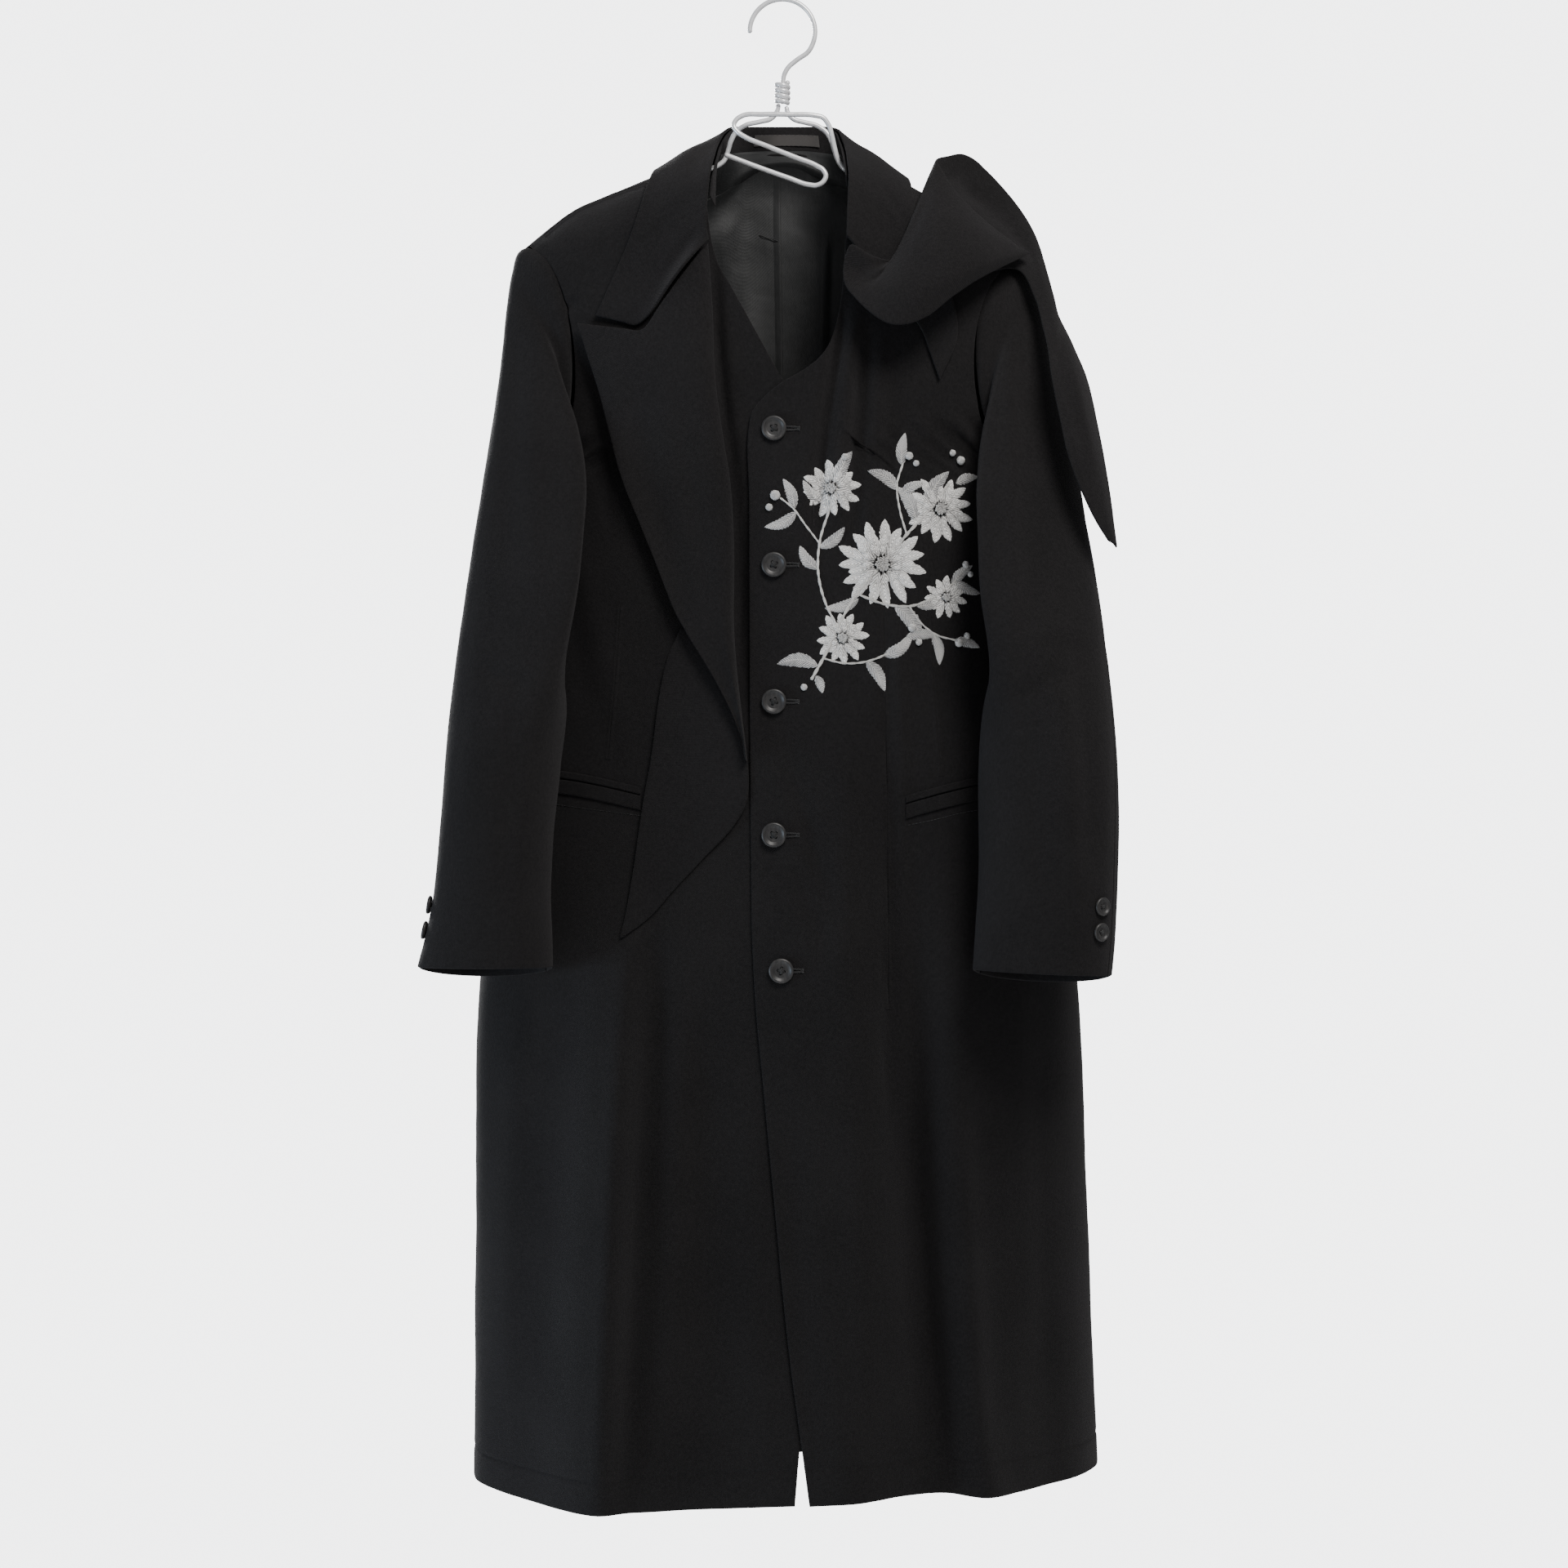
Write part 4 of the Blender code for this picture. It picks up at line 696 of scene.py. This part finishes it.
def points_of(row):
    """The points of a row of numbers that gives across and height in turn."""
    return np.reshape(row, (-1, 2))


def tube(parts, path, radius, sides=8, wobble=0.0, pitch=1.0):
    """A round thread or wire along a path, closed at both ends."""
    path = np.asarray(path, float)
    tangent = unit(np.gradient(path, axis=0))
    side = [unit(np.cross(tangent[0], (0.31, 0.2, 0.93)))]
    for way in tangent[1:]:
        side.append(unit(side[-1] - way * np.dot(side[-1], way)))
    other = np.cross(tangent, side)
    along = lengths(path)
    wide = radius * (1 + wobble * np.sin(2 * pi * along / pitch))
    wide[[0, -1]] *= TUBE_END
    turn = np.linspace(0, 2 * pi, sides, endpoint=False)
    around = np.cos(turn)[:, None] * np.array(side)[:, None] + np.sin(turn)[:, None] * other[:, None]
    rings = path[:, None] + around * wide[:, None, None]
    last = len(path) * sides
    faces = [*grid_faces(len(path), sides, True), range(sides)[::-1], range(last - sides, last)]
    parts.add(rings.reshape(-1, 3), faces, [(t * radius, at) for at in along for t in turn])


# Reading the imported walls


def welded(node):
    """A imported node's points in millimetres, and the neighbours of each."""
    work = bmesh.new()
    work.from_mesh(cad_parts[node].data)
    bmesh.ops.remove_doubles(work, verts=work.verts, dist=1e-6)
    work.verts.ensure_lookup_table()
    points = np.array([v.co[:] for v in work.verts]) / MM
    near = [{e.other_vert(v).index for e in v.link_edges} for v in work.verts]
    work.free()
    return points, near


def rim_loop(partner, near, sheet):
    """The rim of one side of a wall, in order round it."""
    rim = {k for k in sheet if partner[k] in near[k]}
    loop, before = [min(rim)], None
    while True:
        k = loop[-1]
        ahead = [j for j in near[k] & rim if j != before and (partner[j] in near[k] or partner[k] in near[j])]
        if ahead[0] == loop[0] or len(loop) == len(rim):
            return loop
        before = k
        loop.append(ahead[0])


def fill_grid(ring, rows, columns, inner):
    """The grid whose rim is the ring, each point found from the two before it, or None."""
    grid = np.zeros((rows, columns), int)
    grid[0, :] = ring[:columns]
    grid[:, -1] = ring[columns - 1:columns - 1 + rows]
    grid[-1, ::-1] = ring[columns + rows - 2:2 * columns + rows - 2]
    grid[1:, 0] = ring[2 * columns + rows - 3:][::-1]
    used = set(ring)
    for r in range(1, rows - 1):
        for c in range(1, columns - 1):
            found = (inner[grid[r - 1, c]] & inner[grid[r, c - 1]]) - used
            if len(found) != 1:
                return None
            grid[r, c] = found.pop()
            used.add(int(grid[r, c]))
    edges = [*zip(grid[1:-1, -1], grid[1:-1, -2]), *zip(grid[-1, 1:-1], grid[-2, 1:-1])]
    return grid if all(a in inner[b] for a, b in edges) else None


def wall_grids(node, rows, columns, cloth, corner, row_end, shows):
    """The wall's shown face and its hidden back, as grids of points from its first corner."""
    points, near = welded(node)
    partner = [int(np.argmin(np.abs(norm(points - p, axis=1) - cloth))) for p in points]
    inner = [{j for j in near[k] if j != partner[k] and partner[j] in near[partner[k]]}
             for k in range(len(points))]
    sheet, waiting = {0}, [0]
    while waiting:
        fresh = inner[waiting.pop()] - sheet
        sheet |= fresh
        waiting += list(fresh)
    loop = rim_loop(partner, near, sheet)
    rings = [way[k:] + way[:k] for way in (loop, loop[::-1]) for k in range(len(loop))]
    rings.sort(key=lambda ring: norm(points[ring[0]] - corner) + norm(points[ring[columns - 1]] - row_end))
    grids = (fill_grid(ring, rows, columns, inner) for ring in rings)
    grid = next(grid for grid in grids if grid is not None)
    face, back = points[grid], points[np.array(partner)[grid]]
    return (back, face) if np.mean((face - back) @ np.array(shows, float)) < 0 else (face, back)


# Cloth


def tucked(face, back):
    """A sleeve's head with one more row, turned in under the edge of the armhole."""
    move = (unit(face[0] - face[1]) * TUCK_BACK - unit(face - back)[0] * TUCK_UNDER)[None]
    return np.concatenate([face[:1] + move, face]), np.concatenate([back[:1] + move, back])


def meeting(grid):
    """A panel whose last column runs on until it meets the back at the side seam."""
    reach = SEAM_MEETS * smooth_step(-grid[:, -1, 2], *SEAM_STARTS)
    grid = grid.copy()
    grid[:, -1] += unit(grid[:, -1] - grid[:, -2]) * reach[:, None]
    return grid


def read_row(points, at):
    """A row's points, read straight between them at these places."""
    return np.column_stack([np.interp(at, np.arange(len(points)), points[:, k]) for k in range(3)])


def turned_away(node, grid):
    """A sheet whose rows start further in than the wall's."""
    last = grid.shape[1] - 1
    return np.array([read_row(points, np.linspace(start, 1, last + 1) * last)
                     for points, start in zip(grid, TURNED_AWAY[node])])


def places(length, cell, line):
    """Places of the fine rows: close at both rims and at a pressed line, and even between."""
    found = np.linspace(0, length, max(int(round(length / cell)), 4) + 1)[1:-1].tolist()
    found = [place for place in found if RIM_CLEAR < place < length - RIM_CLEAR]
    found += [place * RIM for place in RIM_LINES] + [length - place * RIM for place in RIM_LINES]
    if line:
        found += [length - line + step for step in TURN_UP_LINES]
    return np.array(sorted(set(np.round(found, 4))))


def fold_height(node, kind, points, out):
    """How far the folds and swells move each point of a sheet outward."""
    flat = points[..., [0, 2]]
    total = np.zeros(points.shape[:-1])
    for (sheets, side), folds in FOLDS.items():
        if sheets not in (kind, node):
            continue
        facing = smooth_step(-out[..., 1] if side == "front" else out[..., 1], *FACES)
        for height, half, *row in folds:
            line = curve(points_of(row), FOLD_STEP)
            along = lengths(line)
            nearest, share = np.full(total.shape, 1e9), np.zeros(total.shape)
            for a, b, start, end in zip(line[:-1], line[1:], along[:-1], along[1:]):
                way = b - a
                at = np.clip(((flat - a) @ way) / (way @ way), 0, 1)
                distance = norm(flat - a - at[..., None] * way, axis=-1)
                closer = distance < nearest
                nearest = np.where(closer, distance, nearest)
                share = np.where(closer, (start + (end - start) * at) / along[-1], share)
            fade = smooth_step(share, *FADE_IN) * smooth_step(1 - share, *FADE_OUT)
            total += height * np.exp(-((nearest / half) ** 2)) * facing * fade
    for height, apart in SWELLS:
        swell = np.array([noise.noise(Vector(p)) for p in (points / apart).reshape(-1, 3)])
        total += SWELL_SHARE.get(kind, 1.0) * height * swell.reshape(total.shape)
    return total


GRIDS, SHELLS = {}, {}


def make_sheet(node, rows, columns, cloth, corner, row_end, shows, cell, kind, held, *rests_on):
    """One sheet of cloth through the middle of its packed wall."""
    face, back = wall_grids(node, rows, columns, cloth, corner, row_end, shows)
    GRIDS[node] = face
    if node.startswith("sleeve"):
        face, back = tucked(face, back)
    if node in SEAM_CLOSED:
        face, back = meeting(face), meeting(back)
    if node in TURNED_AWAY:
        face, back = turned_away(node, face), turned_away(node, back)
    make_shell(node, face, back, cell, kind, (node,))


def make_band():
    """The lining's cloth at the back of the neck, from the stand's foot to the top of the back lining."""
    first, last = BAND_STAND
    foot, above = (GRIDS["collar_stand"][r, first:last + 1] for r in (-1, -2))
    at = np.linspace(*BAND_LINING, last - first + 1)
    top, below = (read_row(GRIDS["lining_back"][r], at) for r in (0, 1))
    rows = [foot + (above - foot) * 0.3 + BAND_TURNED_IN]
    rows += [foot + (top - foot) * share - (0, rise, 0) for share, rise in BAND_ROWS]
    rows.append(top + (below - top) * 0.8 + BAND_TURNED_IN)
    face = np.array(rows)
    out = unit(np.cross(np.gradient(face, axis=1), np.gradient(face, axis=0)))
    out *= np.where(out[..., 1:2].mean() > 0, -1, 1)
    make_shell("neck_band", face, face - out * BAND_CLOTH, BAND_CELL, "band")


def make_shell(node, face, back, cell, kind, nodes=()):
    """A closed thin shell between two faces of a sheet, with a rounded rim, its folds and its swells."""
    middle, half = (face + back) / 2, (face - back) / 2
    down = np.mean([lengths(column) for column in np.swapaxes(middle, 0, 1)], axis=0)
    along = np.mean([lengths(row) for row in middle], axis=0)
    rows_at, columns_at = places(down[-1], cell, TURN_UP.get(node, 0)), places(along[-1], cell, 0)

    def finer(grid):
        return np.swapaxes(smooth(np.swapaxes(smooth(grid, down, rows_at), 0, 1), along, columns_at), 0, 1)

    def joined(front, behind):
        return np.concatenate([g.reshape(-1, g.shape[-1]) for g in (front, behind[1:-1, 1:-1])])

    middle, half = finer(middle), finer(half)
    out = unit(half)
    rise = fold_height(node, kind, middle, out)
    rows_share, columns_share = (rows_at / down[-1])[:, None], columns_at / along[-1]
    height, start, end = LIFTED.get(node, NOT_LIFTED)
    upright = np.sin(pi * np.clip((rows_share - start) / (end - start), 0, 1)) ** 0.5
    rise += height * upright * columns_share**4 + LIFTED_ROWS.get(node, 0.0) * rows_share**5
    if node in TURN_UP:
        line = (rows_at - (down[-1] - TURN_UP[node])) / TURN_UP_HALF
        rise -= (TURN_UP_DEPTH * np.exp(-(line**2)))[:, None]
    middle = middle + out * rise[..., None]
    edge = np.minimum(np.minimum(rows_at, down[-1] - rows_at)[:, None],
                      np.minimum(columns_at, along[-1] - columns_at))
    round_off = np.sqrt(np.clip(1 - (1 - np.clip(edge / RIM, 0, 1)) ** 2, 0, 1))[..., None]
    face, back = middle + half * round_off, middle - half * round_off
    rows, columns = face.shape[:2]
    behind = np.arange(rows * columns).reshape(rows, columns)
    behind[1:-1, 1:-1] = rows * columns + np.arange((rows - 2) * (columns - 2)).reshape(rows - 2, -1)
    front = grid_faces(rows, columns)
    faces = np.concatenate([front, behind.ravel()[np.array(front)[:, ::-1]]])
    if np.dot(np.cross(face[1, 2] - face[1, 1], face[2, 1] - face[1, 1]), out[1, 1]) < 0:
        faces = faces[:, ::-1]
    flat = np.stack(np.meshgrid(columns_at, rows_at), axis=-1)
    mesh = cloth_mesh(joined(face, back), faces.tolist(), joined(flat, flat))
    finish = {"lining": "lining", "band": "lining", "label": "label"}.get(kind, "wool")
    piece = add_piece(f"coat_{node}", mesh, finish, nodes)
    SHELLS[node] = face, BVHTree.FromPolygons([Vector(p) for p in face.reshape(-1, 3)], front)
    declare(node, middle)


def declare(node, middle):
    """The sheet's cut: greatest width, length and flat area. A curved strip is as long as its middle."""
    width = max(lengths(row)[-1] for row in middle)
    down = [lengths(column)[-1] for column in np.swapaxes(middle, 0, 1)]
    length = float(np.mean(down)) if node in TURNED_AWAY else max(down)
    a, b = middle[1:, 1:] - middle[:-1, :-1], middle[1:, :-1] - middle[:-1, 1:]
    area = float(norm(np.cross(a, b), axis=-1).sum() / 2)
    flat = (max(width * MM, SHORTEST_CUT), max(length * MM, SHORTEST_CUT))
    area = min(area * MM * MM, flat[0] * flat[1])


def drop_on(spot, sheets=LEFT_FRONT, side="front"):
    """The point of the outermost of these sheets at a place across and up, and its outward direction."""
    way = 1.0 if side == "front" else -1.0
    start = Vector((spot[0], -way * FAR_OFF, spot[1]))
    hits = [SHELLS[node][1].ray_cast(start, Vector((0, way, 0))) for node in sheets]
    hits = [hit for hit in hits if hit[0] is not None]
    if hits:
        point, out, _, _ = min(hits, key=lambda hit: hit[3])
        return np.array(point), np.array(out) * (-1 if out.y * way > 0 else 1)
    return None


def lifted(spot, lift, sheets=LEFT_FRONT, side="front", instead=()):
    """The point a lift above these sheets at a place, or at another where none of them is there."""
    point, out = drop_on(spot, sheets, side) or drop_on(instead, sheets, side)
    return point + out * lift


def strip(name, sheets, side, profile, *row):
    """A low ridge or groove along a line on a sheet."""
    line = curve(points_of(row), SEAM_STEP)
    way = unit(np.gradient(line, axis=0))
    shape, finish = PROFILES[profile]
    points, uvs = [], []
    for place, (x, z), at in zip(line, way, lengths(line)):
        for off, height in shape:
            points.append(lifted(place + np.array((z, -x)) * off, height, sheets, side, place))
            uvs.append((off, at))
    add_piece(f"seam_{name}", cloth_mesh(points, grid_faces(len(line), len(shape)), uvs), finish)


# Small pieces


def make_wires():
    """Each wire is a tube through the centres of its rings, from the end that is given."""
    for node, end in WIRES.items():
        points, near = welded(node)
        layer = set(np.argsort(norm(points - np.array(end), axis=1))[:RING].tolist())
        seen, centres = set(layer), []
        while layer:
            centres.append(points[sorted(layer)].mean(axis=0))
            layer = set().union(*(near[k] for k in layer)) - seen
            seen |= layer
        parts = Parts()
        tube(parts, curve(centres, 1.2), WIRE / 2, 16)
        parts.piece(f"wire_{node}", "steel", (node,))


def button_mesh():
    """The turned button with its four holes, of radius and height 1."""
    work = bmesh.new()
    rings = []
    for radius, height in BUTTON_PROFILE:
        turns = [2 * pi * k / BUTTON_SIDES for k in range(BUTTON_SIDES if radius else 1)]
        rings.append([work.verts.new((radius * cos(t), radius * sin(t), height)) for t in turns])
    for inner, outer in zip(rings, rings[1:]):
        for k in range(BUTTON_SIDES):
            after = (k + 1) % BUTTON_SIDES
            corners = (inner[k % len(inner)], outer[k % len(outer)], outer[after % len(outer)],
                       inner[after % len(inner)])
            work.faces.new(list(dict.fromkeys(corners)))
    bmesh.ops.recalc_face_normals(work, faces=work.faces)
    form = add_object("button_form", mesh_from("button_form", work))
    work = bmesh.new()
    radius, out = BUTTON_HOLE / BUTTON_RADIUS, BUTTON_HOLE_OUT / BUTTON_RADIUS
    for degrees in (45, 135, 225, 315):
        turn = radians(degrees)
        place = Matrix.Translation((out * cos(turn), out * sin(turn), 0.4))
        bmesh.ops.create_cone(work, cap_ends=True, segments=20, radius1=radius, radius2=radius, depth=2.0,
                              matrix=place)
    cutter = add_object("button_cutter", mesh_from("button_cutter", work))
    cut = form.modifiers.new("holes", "BOOLEAN")
    cut.object, cut.operation, cut.solver = cutter, "DIFFERENCE", "EXACT"
    bpy.context.view_layer.update()
    made = bpy.data.meshes.new_from_object(form.evaluated_get(bpy.context.evaluated_depsgraph_get()))
    for thing in (form, cutter):
        bpy.data.objects.remove(thing)
    made.shade_smooth()
    made.set_sharp_from_angle(angle=radians(35))
    made.materials.clear()
    return made


def button_frame(node, facing, turn):
    """Where a button's back is, and its three directions."""
    points, _ = welded(node)
    centre = points.mean(axis=0)
    axis = np.linalg.svd(points - centre)[2][2]
    if axis @ np.array(facing, float) < 0:
        axis = -axis
    base = centre + axis * ((points - centre) @ axis).min()
    side = unit(np.cross(axis, (0, 0, 1.0)))
    angle = radians(turn)
    first = side * cos(angle) + np.cross(axis, side) * sin(angle)
    return base, first, np.cross(axis, first), axis


def make_buttons():
    """Each button, and its crossed thread and shank."""
    form = button_mesh()
    for node, (diameter, facing, turn) in BUTTONS.items():
        base, first, second, axis = button_frame(node, facing, turn)
        radius = diameter / 2
        mesh = form.copy()
        rows = np.column_stack([first * radius, second * radius, axis * BUTTON_HEIGHT, base]).tolist()
        mesh.transform(Matrix.Scale(MM, 4) @ Matrix([*rows, (0, 0, 0, 1)]))
        add_piece(f"horn_{node}", mesh, "horn", (node,))
        parts = Parts()
        out = BUTTON_HOLE_OUT * radius / BUTTON_RADIUS / sqrt(2)
        for one in (1, -1):
            top = BUTTON_HEIGHT * BUTTON_FACE + 0.2 * (one > 0)
            for strand in THREAD_APART:
                path = [base + first * (out * share + strand * 0.7)
                        + second * one * (out * share - strand * 0.7)
                        + axis * (top + rise) for share, rise in THREAD_PATH]
                tube(parts, curve(path, 0.5), BUTTON_THREAD, 6)
        tube(parts, [base + axis * rise for rise in (-1.6, 0.2, 1.0)], SHANK_RADIUS, 10)
        parts.piece(f"thread_{node}", "black_thread")


def make_buttonholes():
    """Keyhole buttonholes: purled thread round a slit, with a round eye under the button."""
    threads, slits = Parts(), Parts()
    for eye, end, height in HOLES:
        turns = np.radians(np.linspace(30, 330, 14))
        half, near, far = HOLE_HALF, eye + HOLE_SHOULDER, end - HOLE_SHOULDER
        loop = [(end, height + half * 0.7), (far, height + half), (near, height + half)]
        loop += [turned((eye, height), t, EYE_RADIUS) for t in turns]
        loop += [(near, height - half), (far, height - half), (end, height - half * 0.7)]
        purl = [lifted(spot, PURL_LIFT) for spot in curve(loop, 0.2)]
        tube(threads, purl, PURL, wobble=0.22, pitch=PURL_PITCH)
        bar = [lifted((end + 0.5, z), BAR_LIFT)
               for z in np.linspace(height - half - 0.7, height + half + 0.7, 9)]
        tube(threads, curve(bar, 0.2), PURL * 0.9, wobble=0.2, pitch=PURL_PITCH)
        uvs = [(x, off) for x in np.linspace(eye, end - 0.4, 12) for off in (-half * 0.55, 0.0, half * 0.55)]
        points = [lifted((x, height + off), SLIT_LIFT if off else SLIT_DEPTH) for x, off in uvs]
        slits.add(points, grid_faces(12, 3), uvs)
    threads.piece("buttonhole_thread", "black_thread")
    slits.piece("buttonhole_slits", "black_thread")


def make_stitches():
    """The pockets' stitches, which dip into the cloth at both ends, the lining's tack and the label's."""
    parts = Parts()
    for sheets, line in POCKET_STITCH:
        line = curve(line, 0.5)
        along = lengths(line)
        start = 0.0
        while start + STITCH < along[-1]:
            at = np.linspace(start, start + STITCH, len(STITCH_RISE))
            spots = zip(*(np.interp(at, along, line[:, k]) for k in range(2)))
            path = [lifted(spot, STITCH_LIFT + STITCH_RADIUS * rise, sheets)
                    for spot, rise in zip(spots, STITCH_RISE)]
            tube(parts, path, STITCH_RADIUS, 6)
            start += STITCH + STITCH_GAP
    first, last = np.array(TACK)
    path = [lifted(first + (last - first) * share, lift, ("lining_back",)) for share, lift in TACK_PATH]
    tube(parts, curve(path, 1.0), TACK_RADIUS, 6)
    face = SHELLS["neck_label"][0]
    above, below = LABEL_STITCH_DIP
    for row in (2, -3):
        for c in range(3, face.shape[1] - 4, 2):
            here = face[row, c]
            tube(parts, [here + above, here + below, face[row, c + 1] + above], LABEL_STITCH_RADIUS, 5)
    parts.piece("sewing_thread", "black_thread")


# Embroidery


def turned(spot, turn, along, aside=0.0):
    """The place that is this far along a direction from a spot, and aside of it."""
    return (spot[0] + cos(turn) * along - sin(turn) * aside, spot[1] + sin(turn) * along + cos(turn) * aside)


def stitched_shape(parts, base, angle, length, width, bend, height, slant, tone, blunt, rows=22, columns=12):
    """A leaf or petal in slanting satin stitch, domed on each side of its vein."""
    turn = radians(angle)
    way, side = np.array((cos(turn), sin(turn))), np.array((-sin(turn), cos(turn)))
    across, up = cos(slant), sin(slant)
    points, uvs, tones = [], [], []
    for s in np.linspace(0, 1, rows):
        wide = width / 2 * sin(pi * min(s ** blunt, 1.0)) ** 0.75 if 0 < s < 1 else 0.0
        middle = np.array(base) + way * length * s + side * bend * length * sin(pi * s) * 0.6
        for t in np.linspace(-1, 1, columns):
            edge = abs(t)
            ragged = 1 + 0.07 * sin(s * length * 2.1 + 3 * (t > 0)) + 0.05 * sin(s * length * 4.7)
            dome = (1 - edge**2.4) * (1 - 0.55 * exp(-((t / 0.16) ** 2))) * sin(pi * s) ** 0.4
            lift = height * dome + 0.25 * (edge < 0.99) - 0.3 * (edge > 0.99 or s in (0.0, 1.0))
            points.append(lifted(middle + side * wide * t * ragged, lift))
            run, over = s * length, edge * wide
            uvs.append((run * up - over * across, run * across + over * up))
            tones.append(tone[0] + (tone[1] - tone[0]) * s)
    parts.add(points, grid_faces(rows, columns), uvs, tones)


def knot(parts, across, height, radius, tone, rise):
    """A round raised knot of thread, its middle risen by this share of its radius."""
    point, out = drop_on((across, height))
    centre = point + out * radius * rise
    side = unit(np.cross(out, (0.2, 0.1, 1.0)))
    up = np.cross(out, side)
    points, uvs = [], []
    for i in range(KNOT_RINGS):
        tilt = pi / 2 * 1.25 * i / (KNOT_RINGS - 1)
        for j in range(KNOT_SIDES):
            turn = 2 * pi * j / KNOT_SIDES
            bump = 1 + 0.10 * cos(5 * turn + 2.4 * i)
            spread = side * cos(turn) + up * sin(turn)
            points.append(centre + (spread * sin(tilt) * bump + out * cos(tilt) * 0.8) * radius)
            uvs.append((turn * radius, tilt * radius))
    parts.add(points, grid_faces(KNOT_RINGS, KNOT_SIDES, True), uvs, tone)


def make_embroidery():
    """Stems of two twisted threads, leaves with a vein, blossoms of three rings of petals, and knots."""
    leaves, petals, stems, knots = Parts(), Parts(), Parts(), Parts()
    for thick, *row in STEMS:
        run = curve(points_of(row), 1.2)
        way = unit(np.gradient(run, axis=0))
        for off in (-0.5, 0.5):
            path = []
            for (x, z), (dx, dz), at in zip(run, way, lengths(run) / STEM_TWIST):
                twist = off * thick * 0.75 * cos(at)
                lift = STEM_LIFT + STEM_LIFT * off * sin(at)
                path.append(lifted((x - dz * twist, z + dx * twist), lift))
            tube(stems, path, thick * 0.62, wobble=0.08, pitch=2.4)
    for index, (x, z, angle, long, wide, bend) in enumerate(LEAVES):
        long, wide = long * LEAF_GROWTH, wide * LEAF_GROWTH
        tone = (0.15, 0.95) if index % 3 else (0.55, 0.2)
        stitched_shape(leaves, (x, z), angle, long, wide, bend, LEAF_HEIGHT, 0.75, tone, 0.85)
        vein = []
        turn = radians(angle)
        for s in np.linspace(0.04, 0.86, 14):
            run, off = long * s, bend * long * sin(pi * s) * 0.6
            vein.append(lifted(turned((x, z), turn, run, off), VEIN_LIFT))
        tube(stems, vein, VEIN_RADIUS, 6, wobble=0.1, pitch=1.6)
    for index, (x, z, radius, count, facing) in enumerate(BLOSSOMS):
        away = PETAL_START * radius
        for share, offset, high, fewer, tone in PETAL_RINGS:
            number = count - fewer
            for k in range(number):
                angle = facing + 360 * (k + offset) / number
                long = radius * share * (1 + 0.06 * sin(2.3 * k + index)) - away
                wide = 2 * pi * (away + long * 0.62) / number * PETAL_FULLNESS
                start = turned((x, z), radians(angle), away)
                stitched_shape(petals, start, angle, long, wide, 0.06 * (-1) ** k, PETAL_HEIGHT * high, 0.42,
                               tone, 1.35, 20, 10)
        for k in range(int(radius * 1.1)):
            turn, out = k * GOLDEN_TURN, radius * 0.17 * sqrt((k + 0.5) / (radius * 1.1))
            knot(knots, *turned((x, z), turn, out), KNOT, 0.5 - 0.4 * (k % 3 == 0), 1.95)
    for bud in BUDS:
        knot(knots, *bud, 0.7, 0.25)
    leaves.piece("embroidery_leaves", "silver")
    petals.piece("embroidery_petals", "ivory")
    stems.piece("embroidery_stems", "pale_thread")
    knots.piece("embroidery_knots", "ivory")


# Surroundings


def make_stage():
    """A pale floor, and a plain surround that is brighter to the camera than to the coat."""
    work = bmesh.new()
    bmesh.ops.create_circle(work, cap_ends=True, segments=96, radius=FLOOR_RADIUS * MM)
    floor = add_object("floor", mesh_from("floor", work))
    floor.location = (0, 0, FLOOR_HEIGHT * MM)
    floor.data.materials.append(MATERIALS["floor"])
    s = Shader("studio", bpy.data.worlds)
    sky, wall = ({"Color": (*colour, 1.0), "Strength": strength}
                 for colour, strength in (STUDIO_LIGHT, PALE_WALL))
    first = s.nodes["Background"]
    s.feed(first.inputs, sky)
    seen = s.node("LightPath", "Is Camera Ray")
    both = s.node("MixShader", 0, {0: seen, 1: first.outputs[0], 2: s.node("Background", 0, wall)})
    s.feed(s.nodes["World Output"].inputs, {"Surface": both})
    bpy.context.scene.world = s.owner


def make_lights():
    for name, place, aim, size, power, colour in LIGHTS:
        data = bpy.data.lights.new(name, "AREA")
        data.shape, data.size, data.energy, data.color = "DISK", size, power, colour
        lamp = add_object(name, data)
        lamp.location = place
        lamp.rotation_mode = "QUATERNION"
        lamp.rotation_quaternion = (Vector(aim) - Vector(place)).to_track_quat("-Z", "Y")


def make_camera():
    data = bpy.data.cameras.new("camera")
    data.lens, data.sensor_width = LENS, SENSOR
    camera = add_object("camera", data)
    camera.location = [v * MM for v in CAMERA]
    camera.rotation_euler = (pi / 2, 0, 0)
    bpy.context.scene.camera = camera


def main():
    make_camera()
    for node, row in WALLS.items():
        make_sheet(node, *row)
    make_band()
    for seam in SEAMS:
        strip(*seam)
    make_wires()
    make_buttons()
    make_buttonholes()
    make_stitches()
    make_embroidery()
    make_stage()
    make_lights()


main()
